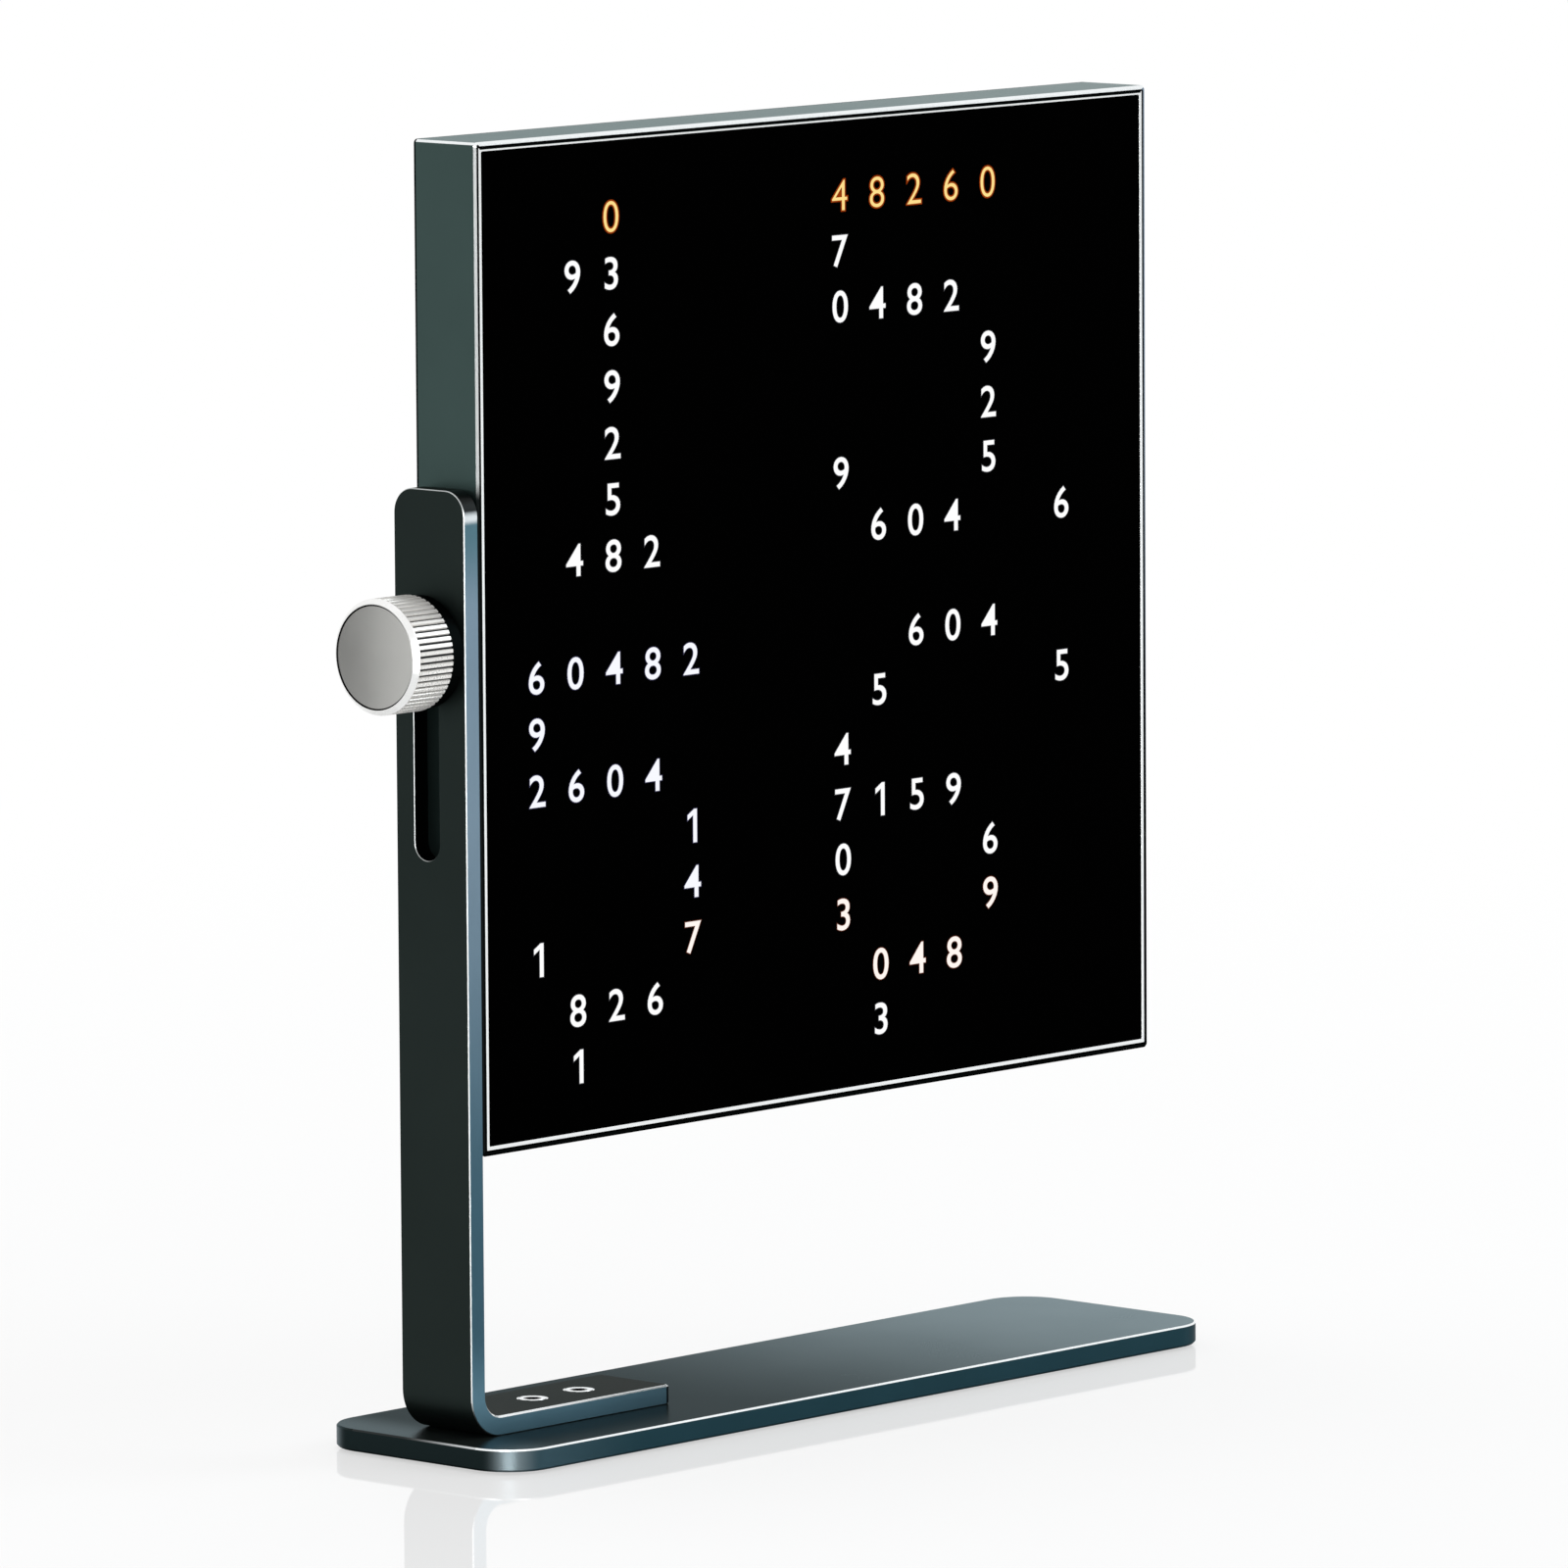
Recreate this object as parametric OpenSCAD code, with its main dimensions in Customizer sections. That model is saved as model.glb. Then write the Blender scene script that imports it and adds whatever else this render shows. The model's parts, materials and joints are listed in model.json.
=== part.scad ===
// Table clock with a square numeral display that slides and tilts on an L-shaped stand.
// Millimetres, +Z up. The origin is the middle of the anti-slip pad's underside.
// The display faces -Y and the clamp knob is on the -X side.

/* [Base] */
// Length of the base plate
base_l = 189; // [160:1:260]
// Depth of the base plate, front to back
base_w = 48; // [40:1:90]
// Thickness of the base plate
base_t = 4; // [3:0.1:8]
// Corner radius of the base plate
base_corner_r = 9; // [9:0.5:18]
// Chamfer round the top edge of the base plate
base_chamfer = 0.3; // [0.2:0.1:1]
// Margin from the plate's edge to the anti-slip pad
pad_margin = 6; // [3:0.5:8]
// Thickness of the anti-slip pad
pad_t = 1.2; // [0.9:0.1:2]
// How far the pad stands out below the plate
pad_proud = 0.5; // [0.2:0.1:0.8]

/* [Bracket] */
// Width of the bent bar
bar_w = 17; // [12:0.5:24]
// Thickness of the bent bar
bar_t = 3.5; // [3:0.1:6]
// Inside radius of the bend
bend_r = 4; // [2:0.5:10]
// How far the upright reaches above the pivot
upright_above_pivot = 28.5; // [20:0.5:45]
// Radius of the upright's top corners
upright_top_r = 4.5; // [1:0.5:6]
// Length of the foot, from the upright's outer face
foot_l = 51; // [46:1:80]
// Distance from the plate's end to the upright's outer face
upright_inset = 5; // [1:0.5:20]
// How far the pivot lies behind the middle of the bar
slot_set_back = 1.1; // [0:0.1:2]
// Distance from the foot's end to the first foot screw
foot_screw_end = 14.6; // [8:0.2:18]
// Distance between the two foot screws
foot_screw_pitch = 12; // [8:0.5:16]
// Thread diameter of the foot screws
foot_screw_d = 3; // [2:0.5:4]
// Head diameter of the foot screws
foot_head_d = 5; // [4.8:0.1:7]

/* [Height and tilt] */
// Clear height between the base plate and the display at rest
under_gap = 49.7; // [46:0.1:90]
// How far the display can be lowered from rest
drop_travel = 34; // [10:1:40]
// How far the display can be raised from rest
rise_travel = 4; // [0:0.5:10]
// Diameter of the clamp stud
stud_d = 4; // [3:0.5:6]
// Wall of the bush that slides in the slot
bush_wall = 0.85; // [0.5:0.05:2]
// Diameter of the friction washer beside the display
friction_washer_d = 14; // [12:0.5:16]
// Thickness of the friction washer
friction_washer_t = 1.1; // [0.3:0.1:2]
// Diameter of the washer under the knob
clamp_washer_d = 13; // [12:0.5:18]
// Thickness of the washer under the knob
clamp_washer_t = 0.8; // [0.5:0.1:2]

/* [Knob] */
// Diameter of the knob over its ridges
knob_d = 20.5; // [16:0.5:30]
// Length of the knob
knob_l = 12; // [10:0.5:20]
// Number of ridges round the knob
knob_ridges = 56; // [24:1:90]
// Depth of the grooves between the ridges
ridge_depth = 0.45; // [0.2:0.05:0.7]
// Chamfer at the outer end of the knob
knob_chamfer = 0.8; // [0.6:0.1:0.8]
// Length of the plain neck at the knob's inner end
knob_neck_l = 1.8; // [0.8:0.1:2.5]
// How far the neck is set in from the tops of the ridges
knob_neck_in = 1.2; // [1:0.1:2]
// Width of the rim round the knob's inlaid cap
cap_rim = 1; // [1:0.1:3]
// Thickness of the inlaid cap
cap_t = 1; // [0.6:0.1:2]
// How far the cap lies below the rim
cap_recess = 0.15; // [0.05:0.05:0.4]
// How far the stud is set into the knob
stud_in_knob = 8; // [5:0.5:8.5]

/* [Matrix] */
// Number of cells in each row and column
cells = 16; // [12:1:20]
// Distance from one cell to the next
pitch = 10; // [8:0.5:12]
// Border from the outer cells to the outside of the case
grid_border = 9.2; // [8:0.1:14]
// How far the grid is shifted to the right of the case's middle
grid_shift_x = 0.6; // [0:0.1:1.4]
// How far the grid is shifted below the case's middle
grid_shift_down = 0.9; // [0:0.1:1.4]
// Side of one light-emitting chip
led_side = 5; // [3:0.1:6]
// Height of one light-emitting chip
led_h = 1.6; // [0.8:0.1:2]
// Thickness of the walls between the cells
cell_wall = 1.2; // [0.8:0.1:2]

/* [Display case] */
// Depth of the display case
case_depth = 15; // [14:0.5:25]
// Wall of the case frame
frame_wall = 1.5; // [1.3:0.1:3]
// Outer corner radius of the case frame
frame_corner_r = 0.8; // [0.8:0.1:1]
// Wall of the frame round the trim ring, at its front
front_lip = 0.7; // [0.7:0.1:1.3]
// Chamfer round the front edge of the case frame
frame_chamfer = 0.4; // [0.3:0.1:0.4]
// Width of the bright trim ring round the glass
trim_w = 0.8; // [0.5:0.1:1.2]
// How far the trim ring lies behind the frame's front
trim_recess = 0.1; // [0:0.05:0.3]
// How far the glass lies behind the frame's front
glass_recess = 0.3; // [0.1:0.05:0.6]
// Thickness of the front glass
glass_t = 1.8; // [1.2:0.1:3]
// Width of the ledge that the glass seats on
ledge_w = 2; // [1.6:0.1:3]
// Thickness of the numeral film
film_t = 0.2; // [0.1:0.05:0.4]
// Thickness of the diffuser sheet
diffuser_t = 0.8; // [0.5:0.1:1.5]
// Thickness of the rear cover
cover_t = 1.8; // [1.5:0.1:3]
// Side of the corner posts that the rear cover is screwed to
post_side = 5.2; // [4.6:0.1:5.4]
// Thread diameter of the rear cover screws
cover_screw_d = 2; // [1.6:0.1:2.2]
// Head diameter of the rear cover screws
cover_head_d = 3.6; // [3.2:0.1:4]
// Length of the rear cover screws
cover_screw_l = 8; // [5:0.5:9]
// Diameter of the cover's posts that press on the LED board
press_post_d = 5; // [3:0.5:8]
// Distance of these posts from the outside of the case
press_post_inset = 30; // [20:1:34]

/* [Clamp block] */
// Width of the clamp block, front to back
block_w = 7; // [6.5:0.1:8]
// Height of the clamp block
block_h = 22; // [20:0.5:30]
// Distance between the two clamp block screws
block_screw_pitch = 16; // [14:0.5:17]
// Thread diameter of the clamp block screws
block_screw_d = 2.5; // [2:0.1:3]
// Head diameter of the clamp block screws
block_head_d = 4.3; // [4:0.1:4.6]
// Wall left between the block's notch and the first column of cells
notch_wall = 0.8; // [0.4:0.1:1.5]

/* [Control board] */
// Width of the control board
control_w = 90; // [84:1:100]
// Height of the control board
control_h = 34; // [32:1:44]
// Thickness of the control board
control_t = 1; // [0.8:0.1:1.6]
// Thickness of the LED board
led_board_t = 1; // [0.8:0.1:1.6]
// Gap between the LED board and the control board
board_gap = 1.3; // [1.2:0.1:2]
// Gap between the control board's edge and the case's inner wall
control_edge_gap = 0.8; // [0.3:0.1:1.5]
// Distance of the control board's screws from its edges
control_screw_inset = 4; // [3.5:0.5:6]
// Thread diameter of the control board screws
control_screw_d = 2; // [1.6:0.1:2.5]
// Head diameter of the control board screws
control_head_d = 3.6; // [3:0.1:4.4]
// Head height of the control board screws
control_head_h = 1; // [0.6:0.1:1.1]
// Diameter of the bosses that carry the control board
boss_d = 4.6; // [4:0.1:6]
// Distance of the upper row of parts from the board's top edge
upper_row_inset = 14; // [12:0.5:18]
// Distance of the lower row of parts from the board's bottom edge
lower_row_inset = 8; // [7:0.5:9]
// Gap between neighbouring parts on the board
part_gap = 3; // [1:0.5:5]
// Side of the processor chip
processor_side = 10; // [6:0.5:12]
// Thickness of the processor chip
processor_t = 1.4; // [0.8:0.1:2]
// Length of the timekeeping chip
clock_chip_l = 5; // [4:0.5:8]
// Width of the timekeeping chip
clock_chip_w = 4; // [3:0.5:5]
// Thickness of the timekeeping chip
clock_chip_t = 1.5; // [0.8:0.1:2]
// Diameter of the crystal can
crystal_d = 2; // [1.5:0.1:3]
// Length of the crystal can
crystal_l = 6; // [4:0.5:8]
// Diameter of the backup coin cell
coin_d = 12.5; // [9.5:0.5:13]
// Thickness of the backup coin cell
coin_t = 2; // [1.2:0.1:2.5]
// Wall of the coin cell's holder
holder_wall = 0.8; // [0.5:0.1:1.5]
// Floor of the coin cell's holder
holder_floor = 0.4; // [0.3:0.1:0.6]
// Number of pins between the two boards
link_pins_n = 4; // [2:1:6]
// Distance between these pins
link_pitch = 2.54; // [2:0.01:3]
// Side of one pin
link_pin_side = 0.64; // [0.4:0.02:0.8]
// How far the pins stand out behind the control board
link_pin_proud = 1; // [0.5:0.1:1.6]

/* [Power socket] */
// Outer width of the socket's shell
usb_w = 8.94; // [8:0.02:12]
// Outer height of the socket's shell
usb_h = 3.2; // [2.8:0.1:4]
// Length of the socket's shell
usb_l = 7.4; // [6:0.1:10]
// Wall of the socket's shell
usb_wall = 0.3; // [0.2:0.05:0.4]
// How far the socket's mouth lies inside the case's underside
usb_recess = 0.2; // [0:0.1:1]
// Width of the contact tongue
tongue_w = 6.6; // [5:0.1:7]
// Thickness of the contact tongue
tongue_t = 0.7; // [0.4:0.1:1]
// How far the contact tongue stops short of the mouth
tongue_short = 1; // [0.5:0.1:3]

/* [Buttons] */
// Diameter of the button caps
button_d = 5; // [4:0.1:7]
// Distance from one button to the next
button_pitch = 12; // [10:0.5:13]
// How far the caps stand out behind the rear cover
button_proud = 0.8; // [0.7:0.1:1.5]
// Travel of the buttons
button_travel = 0.5; // [0.3:0.05:0.6]
// Lip of the caps' inner flange
flange_lip = 0.8; // [0.4:0.1:1.2]
// Thickness of the caps' inner flange
flange_t = 0.8; // [0.5:0.1:1]
// Side of a switch body
switch_side = 5.2; // [4:0.1:7]
// Height of a switch body
switch_h = 1.8; // [1.5:0.1:2]
// Diameter of a switch plunger
plunger_d = 2; // [1.5:0.1:3]
// How far a plunger reaches into its switch at rest
plunger_in = 0.4; // [0.2:0.1:0.6]

/* [Clearances] */
// Gap round sheets and panels that drop into the frame
fit_gap = 0.1; // [0.05:0.05:0.3]
// Radial gap between the stud and what turns on it
run_gap = 0.05; // [0.02:0.01:0.1]
// Gap on each side of the bush in its slot
slide_gap = 0.1; // [0.05:0.05:0.2]
// Gap round screws, pins and parts that are pressed in
screw_gap = 0.04; // [0.02:0.01:0.1]
// Gap between the boards' edges and the frame
board_edge_gap = 0.5; // [0.2:0.1:0.8]
// Gap round the clamp block in the boards
notch_gap = 0.4; // [0.2:0.1:0.8]
// Gap round the buttons, their plungers and the power socket
button_gap = 0.12; // [0.08:0.02:0.3]
// Room left above the tallest part on the control board
parts_clear = 0.4; // [0.2:0.1:1]
// Length by which the bush, the stud and blind screws stop short
end_short = 0.2; // [0.1:0.05:0.5]

/* [Hidden] */
$fn = 64;
// Overlap of cutters past the faces they cut
eps = 1;

// Base and bracket
pad_recess = pad_t - pad_proud;
pad_l = base_l - 2 * pad_margin;
pad_w = base_w - 2 * pad_margin;
pad_corner_r = base_corner_r - pad_margin;
base_top = pad_proud + base_t;
bend_outer_r = bend_r + bar_t;
upright_x = -base_l / 2 + upright_inset;
bar_inner_x = upright_x + bar_t;
bar_y = -slot_set_back;
foot_screw_x = [for (i = [0, 1]) upright_x + foot_l - foot_screw_end - i * foot_screw_pitch];
foot_screw_l = bar_t + base_t - pad_recess - end_short;

// Case outline and pivot, with the pivot in the middle of the case's height
case_side = cells * pitch + 2 * grid_border;
case_x = bar_inner_x + friction_washer_t;
case_y = bar_y - case_depth / 2;
pivot_z = base_top + under_gap + case_side / 2;
pivot_depth = case_depth / 2 + slot_set_back;
upright_h = under_gap + case_side / 2 + upright_above_pivot;
stud_r = stud_d / 2;
bush_r = stud_r + run_gap + bush_wall;
slot_r = bush_r + slide_gap;
knob_x = upright_x - clamp_washer_t;
cap_d = knob_d - 2 * cap_rim;

// Depths inside the case, counted from its front
in_side = case_side - 2 * frame_wall;
window_side = in_side - 2 * ledge_w;
pocket_side = case_side - 2 * front_lip;
trim_side = pocket_side - 2 * fit_gap;
glass_pocket_side = trim_side - 2 * trim_w;
board_side = in_side - 2 * board_edge_gap;
ledge_front = glass_recess + glass_t;
diffuser_front = ledge_front + film_t;
ledge_back = diffuser_front + diffuser_t;
holder_h = holder_floor + coin_t;
parts_room = max(usb_h, holder_h) + parts_clear;
cover_front = case_depth - cover_t;
control_back = cover_front - parts_room;
control_front = control_back - control_t;
led_back = control_front - board_gap;
led_front = led_back - led_board_t;
post_middle = frame_wall + post_side / 2;
grid_x = case_side / 2 + grid_shift_x;
grid_z = -grid_shift_down;

// Clamp block, in the border beside the first column of cells
notch_edge = grid_border + grid_shift_x - notch_wall;
block_l = notch_edge - notch_gap - frame_wall;
block_screw_l = frame_wall + block_l - end_short;

// Control board, with its parts placed from its own edges
control_x = case_side / 2;
control_bottom = -in_side / 2 + control_edge_gap;
upper_row_z = control_bottom + control_h - upper_row_inset;
lower_row_z = control_bottom + lower_row_inset;
row_end = control_w / 2 - 2 * control_screw_inset;
coin_r = coin_d / 2 + screw_gap;
holder_r = coin_r + holder_wall;
coin_x = control_x + row_end - holder_r;
processor_x = coin_x - holder_r - part_gap - processor_side / 2;
clock_chip_x = control_x + usb_w / 2 + part_gap + clock_chip_l / 2;
crystal_x = clock_chip_x + clock_chip_l / 2 + part_gap;
link_x = control_x - row_end;
usb_bottom = -case_side / 2 + usb_recess;
usb_depth = control_back + usb_h / 2;
boss_hole_depth = parts_room - end_short;
control_screw_l = control_t + boss_hole_depth - end_short;

// Buttons, from left to right on the board
flange_back = cover_front - button_gap;
flange_front = flange_back - flange_t;
switch_back = control_back + switch_h;
plunger_front = switch_back - plunger_in;
plunger_hole = plunger_in + button_travel + end_short;
button_x = [for (i = [0 : 2]) control_x - row_end + button_d / 2 + flange_lip + i * button_pitch];

// Flat outline with round corners, centred
module round_outline(l, w, r) {
    square([l - 2 * r, w], center = true);
    square([l, w - 2 * r], center = true);
    for (x = [-1, 1], y = [-1, 1])
        translate([x * (l / 2 - r), y * (w / 2 - r)]) circle(r);
}

// Section of a slab with its two upper edges chamfered
function chamfered_section(w, h, c) =
    [[-w / 2, 0], [w / 2, 0], [w / 2, h - c], [w / 2 - c, h], [c - w / 2, h], [-w / 2, h - c]];

// Slab with round corners and a chamfer round its upper edge, centred on Z
module chamfered_slab(l, w, h, r, c) {
    translate([r - l / 2, 0, 0]) rotate([90, 0, 90])
        linear_extrude(l - 2 * r) polygon(chamfered_section(w, h, c));
    translate([0, w / 2 - r, 0]) rotate([90, 0, 0])
        linear_extrude(w - 2 * r) polygon(chamfered_section(l, h, c));
    for (x = [-1, 1], y = [-1, 1])
        translate([x * (l / 2 - r), y * (w / 2 - r), 0])
            rotate_extrude() polygon([[0, 0], [r, 0], [r, h - c], [r - c, h], [0, h]]);
}

// Countersunk screw that points down from its head at Z = 0, with a six-sided socket
module countersunk_screw(d, head_d, l) {
    head_h = (head_d - d) / 2;
    difference() {
        rotate_extrude()
            polygon([[0, 0], [head_d / 2, 0], [d / 2, -head_h], [d / 2, -l], [0, -l]]);
        translate([0, 0, -head_h]) cylinder(d = d / 2 + head_d / 10, h = head_h + eps, $fn = 6);
    }
}

// Cutter for such a screw's hole
module countersunk_hole(d, head_d, l) {
    head_r = head_d / 2 + screw_gap;
    hole_r = d / 2 + screw_gap;
    rotate_extrude()
        polygon([[0, eps], [head_r, eps], [head_r, 0], [hole_r, hole_r - head_r], [hole_r, -l], [0, -l]]);
}

// Places what is drawn in the case's own axes: X from its left face, Y from its front, Z from the pivot
module in_case() {
    translate([case_x, case_y, pivot_z]) children();
}

// Sheet between two depths of the case, drawn in X and Z
module sheet(front, back) {
    translate([0, back, 0]) rotate([90, 0, 0]) linear_extrude(back - front) children();
}

// Square round the case's middle, drawn in X and Z
module case_square(side) {
    translate([(case_side - side) / 2, -side / 2]) square(side);
}

// Round bar between two depths of the case
module depth_rod(x, z, front, back, d) {
    translate([x, back, z]) rotate([90, 0, 0]) cylinder(d = d, h = back - front);
}

// Block between two depths of the case, with X and Z sizes round its middle
module depth_block(x, z, front, back, size_x, size_z) {
    translate([x - size_x / 2, front, z - size_z / 2]) cube([size_x, back - front, size_z]);
}

// Repeats at the case's four corner posts
module at_posts() {
    for (x = [post_middle, case_side - post_middle], z = [-1, 1])
        translate([x, 0, z * (case_side / 2 - post_middle)]) children();
}

// Repeats at the control board's four screws
module at_control_screws() {
    for (side = [-1, 1], z = [control_screw_inset, control_h - control_screw_inset])
        translate([control_x + side * (control_w / 2 - control_screw_inset), 0, control_bottom + z]) children();
}

// Repeats at every cell of the matrix
module at_cells() {
    for (col = [0 : cells - 1], row = [0 : cells - 1])
        translate([grid_x + (col - (cells - 1) / 2) * pitch, 0, grid_z + (row - (cells - 1) / 2) * pitch])
            children();
}

// Places a turned piece on the pivot, its +Z pointing out of the left side
module along_pivot(x) {
    translate([x, 0, pivot_z]) rotate([0, -90, 0]) children();
}

// Flat ring
module ring(outer_d, inner_d, h) {
    difference() {
        cylinder(d = outer_d, h = h);
        translate([0, 0, -eps]) cylinder(d = inner_d, h = h + 2 * eps);
    }
}

// Outline that the LED board and the baffle share, clear of the posts and the clamp block
module board_outline() {
    difference() {
        case_square(board_side);
        for (x = [0, case_side], z = [-1, 1])
            translate([x, z * case_side / 2])
                square(2 * (frame_wall + post_side + board_edge_gap), center = true);
        square([2 * notch_edge, block_h + 2 * notch_gap], center = true);
    }
}

// Bent bar with its outer corner at the origin, upright along Z and foot along X, width along Y
module bent_bar() {
    translate([0, -bar_w / 2, bend_outer_r]) cube([bar_t, bar_w, upright_h - bend_outer_r]);
    translate([bend_outer_r, -bar_w / 2, 0]) cube([foot_l - bend_outer_r, bar_w, bar_t]);
    intersection() {
        translate([bend_outer_r, bar_w / 2, bend_outer_r]) rotate([90, 0, 0])
            ring(2 * bend_outer_r, 2 * bend_r, bar_w);
        translate([0, -bar_w / 2, 0]) cube([bend_outer_r, bar_w, bend_outer_r]);
    }
}

// Cutter that rounds the upright's top corners
module top_corner_cut(side) {
    middle = bar_w / 2 - upright_top_r;
    difference() {
        translate([-eps, side > 0 ? middle : -bar_w / 2 - eps, upright_h - upright_top_r])
            cube([bar_t + 2 * eps, upright_top_r + eps, upright_top_r + eps]);
        translate([-2 * eps, side * middle, upright_h - upright_top_r]) rotate([0, 90, 0])
            cylinder(r = upright_top_r, h = bar_t + 4 * eps);
    }
}

// Cutter for the height slot, from the lowest to the highest place of the bush
module slot_cut() {
    translate([upright_x - eps, 0, pivot_z]) {
        for (z = [-drop_travel, rise_travel])
            translate([0, 0, z]) rotate([0, 90, 0]) cylinder(r = slot_r, h = bar_t + 2 * eps);
        translate([0, -slot_r, -drop_travel]) cube([bar_t + 2 * eps, 2 * slot_r, drop_travel + rise_travel]);
    }
}

module base_plate() {
    color("#34403d") difference() {
        translate([0, 0, pad_proud]) chamfered_slab(base_l, base_w, base_t, base_corner_r, base_chamfer);
        translate([0, 0, pad_proud - eps]) linear_extrude(pad_recess + eps)
            round_outline(pad_l + 2 * fit_gap, pad_w + 2 * fit_gap, pad_corner_r + fit_gap);
        for (x = foot_screw_x)
            translate([x, bar_y, pad_proud]) cylinder(d = foot_screw_d + 2 * screw_gap, h = base_t + eps);
    }
}

module anti_slip_pad() {
    color("#1b1d1d") linear_extrude(pad_t) round_outline(pad_l, pad_w, pad_corner_r);
}

module upright_bracket() {
    color("#28302e") difference() {
        translate([upright_x, bar_y, base_top]) difference() {
            bent_bar();
            for (side = [-1, 1]) top_corner_cut(side);
        }
        slot_cut();
        for (x = foot_screw_x)
            translate([x, bar_y, base_top + bar_t]) countersunk_hole(foot_screw_d, foot_head_d, bar_t + eps);
    }
}

module foot_screws() {
    color("#8a9290") for (x = foot_screw_x)
        translate([x, bar_y, base_top + bar_t]) countersunk_screw(foot_screw_d, foot_head_d, foot_screw_l);
}

module slot_bush() {
    color("#e4e2da") along_pivot(bar_inner_x) ring(2 * bush_r, stud_d + 2 * run_gap, bar_t - end_short);
}

module friction_washer() {
    color("#2b2b2b") along_pivot(case_x) ring(friction_washer_d, stud_d + 2 * run_gap, friction_washer_t);
}

module clamp_washer() {
    color("#c9ccca") along_pivot(upright_x) ring(clamp_washer_d, stud_d + 2 * run_gap, clamp_washer_t);
}

// Outline of the ridged knob, four points to each ridge
module ridged_outline() {
    steps = 4;
    polygon([for (i = [0 : steps * knob_ridges - 1])
        let (r = knob_d / 2 - (i % steps < steps / 2 ? 0 : ridge_depth), a = 360 * i / (steps * knob_ridges))
            [r * cos(a), r * sin(a)]]);
}

module clamp_knob() {
    r = knob_d / 2;
    c = knob_chamfer;
    color("#b4b5b0") along_pivot(knob_x) difference() {
        union() {
            cylinder(r = r - knob_neck_in, h = knob_neck_l + eps);
            translate([0, 0, knob_neck_l]) intersection() {
                linear_extrude(knob_l - knob_neck_l) ridged_outline();
                rotate_extrude() polygon([[0, 0], [r, 0], [r, knob_l - knob_neck_l - c],
                    [r - c, knob_l - knob_neck_l], [0, knob_l - knob_neck_l]]);
            }
        }
        translate([0, 0, knob_l - cap_recess - cap_t])
            cylinder(d = cap_d + 2 * screw_gap, h = cap_t + cap_recess + eps);
        translate([0, 0, -eps]) cylinder(r = stud_r + screw_gap, h = stud_in_knob + eps);
    }
}

module knob_cap() {
    color("#9b9b97") along_pivot(knob_x - knob_l + cap_recess + cap_t) cylinder(d = cap_d, h = cap_t);
}

module clamp_stud() {
    stud_end = case_x + frame_wall + block_l - end_short;
    color("#aab0b2") along_pivot(stud_end) cylinder(r = stud_r, h = stud_end - knob_x + stud_in_knob);
}

module display_frame() {
    color("#3f4f4c") in_case() difference() {
        translate([case_side / 2, case_depth, 0]) rotate([90, 0, 0])
            chamfered_slab(case_side, case_side, case_depth, frame_corner_r, frame_chamfer);
        sheet(-eps, ledge_front) case_square(pocket_side);
        sheet(ledge_front - eps, ledge_back + eps) case_square(window_side);
        sheet(ledge_back, cover_front + eps) difference() {
            case_square(in_side);
            for (x = [0, case_side], z = [-1, 1])
                translate([x, z * case_side / 2]) square(2 * (frame_wall + post_side), center = true);
        }
        sheet(cover_front, case_depth + eps) case_square(in_side);
        at_posts() translate([0, case_depth, 0]) rotate([-90, 0, 0]) translate([0, 0, -cover_screw_l - end_short])
            cylinder(d = cover_screw_d + 2 * screw_gap, h = cover_screw_l);
        at_block_screws() countersunk_hole(block_screw_d, block_head_d, frame_wall + eps);
        translate([-eps, pivot_depth, 0]) rotate([0, 90, 0])
            cylinder(r = stud_r + slide_gap, h = frame_wall + 2 * eps);
        translate([control_x, usb_depth, -case_side / 2 - eps]) linear_extrude(frame_wall + 2 * eps)
            usb_outline(button_gap);
    }
}

module trim_ring() {
    color("#dfe3e3") in_case() sheet(trim_recess, ledge_front) difference() {
        case_square(trim_side);
        case_square(glass_pocket_side);
    }
}

module front_glass() {
    color("#050505") in_case() sheet(glass_recess, ledge_front) case_square(glass_pocket_side - 2 * fit_gap);
}

module numeral_film() {
    color("#0c0c0c") in_case() sheet(ledge_front, diffuser_front) case_square(window_side - 2 * fit_gap);
}

module diffuser_sheet() {
    color("#e9e9e4") in_case() sheet(diffuser_front, ledge_back) case_square(window_side - 2 * fit_gap);
}

module baffle_grid() {
    color("#161616") in_case() difference() {
        sheet(ledge_back, led_front) board_outline();
        at_cells() depth_block(0, 0, ledge_back - eps, led_front + eps, pitch - cell_wall, pitch - cell_wall);
    }
}

module led_board() {
    color("#17402c") in_case() sheet(led_front, led_back) board_outline();
}

module led_chips() {
    color("#f2efe2") in_case() at_cells() depth_block(0, 0, led_front - led_h, led_front, led_side, led_side);
}

// Repeats at the two clamp block screws, +Z pointing out of the case's left face
module at_block_screws() {
    for (side = [-1, 1])
        translate([0, pivot_depth, side * block_screw_pitch / 2]) rotate([0, -90, 0]) children();
}

module clamp_block() {
    color("#b08d4a") in_case() difference() {
        translate([frame_wall, pivot_depth - block_w / 2, -block_h / 2]) cube([block_l, block_w, block_h]);
        translate([0, pivot_depth, 0]) rotate([0, 90, 0])
            cylinder(r = stud_r + run_gap, h = frame_wall + block_l + eps);
        at_block_screws() translate([0, 0, -frame_wall - block_l - eps])
            cylinder(d = block_screw_d + 2 * screw_gap, h = frame_wall + block_l + eps);
    }
}

module clamp_block_screws() {
    color("#6f7675") in_case() at_block_screws() countersunk_screw(block_screw_d, block_head_d, block_screw_l);
}

// Outline of the power socket, widened by a gap
module usb_outline(gap) {
    round_outline(usb_w + 2 * gap, usb_h + 2 * gap, usb_h / 2 + gap - usb_wall / 2);
}

// Repeats at the pins between the boards
module at_link_pins() {
    for (i = [0 : link_pins_n - 1])
        translate([link_x + i * link_pitch, 0, lower_row_z]) children();
}

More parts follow.
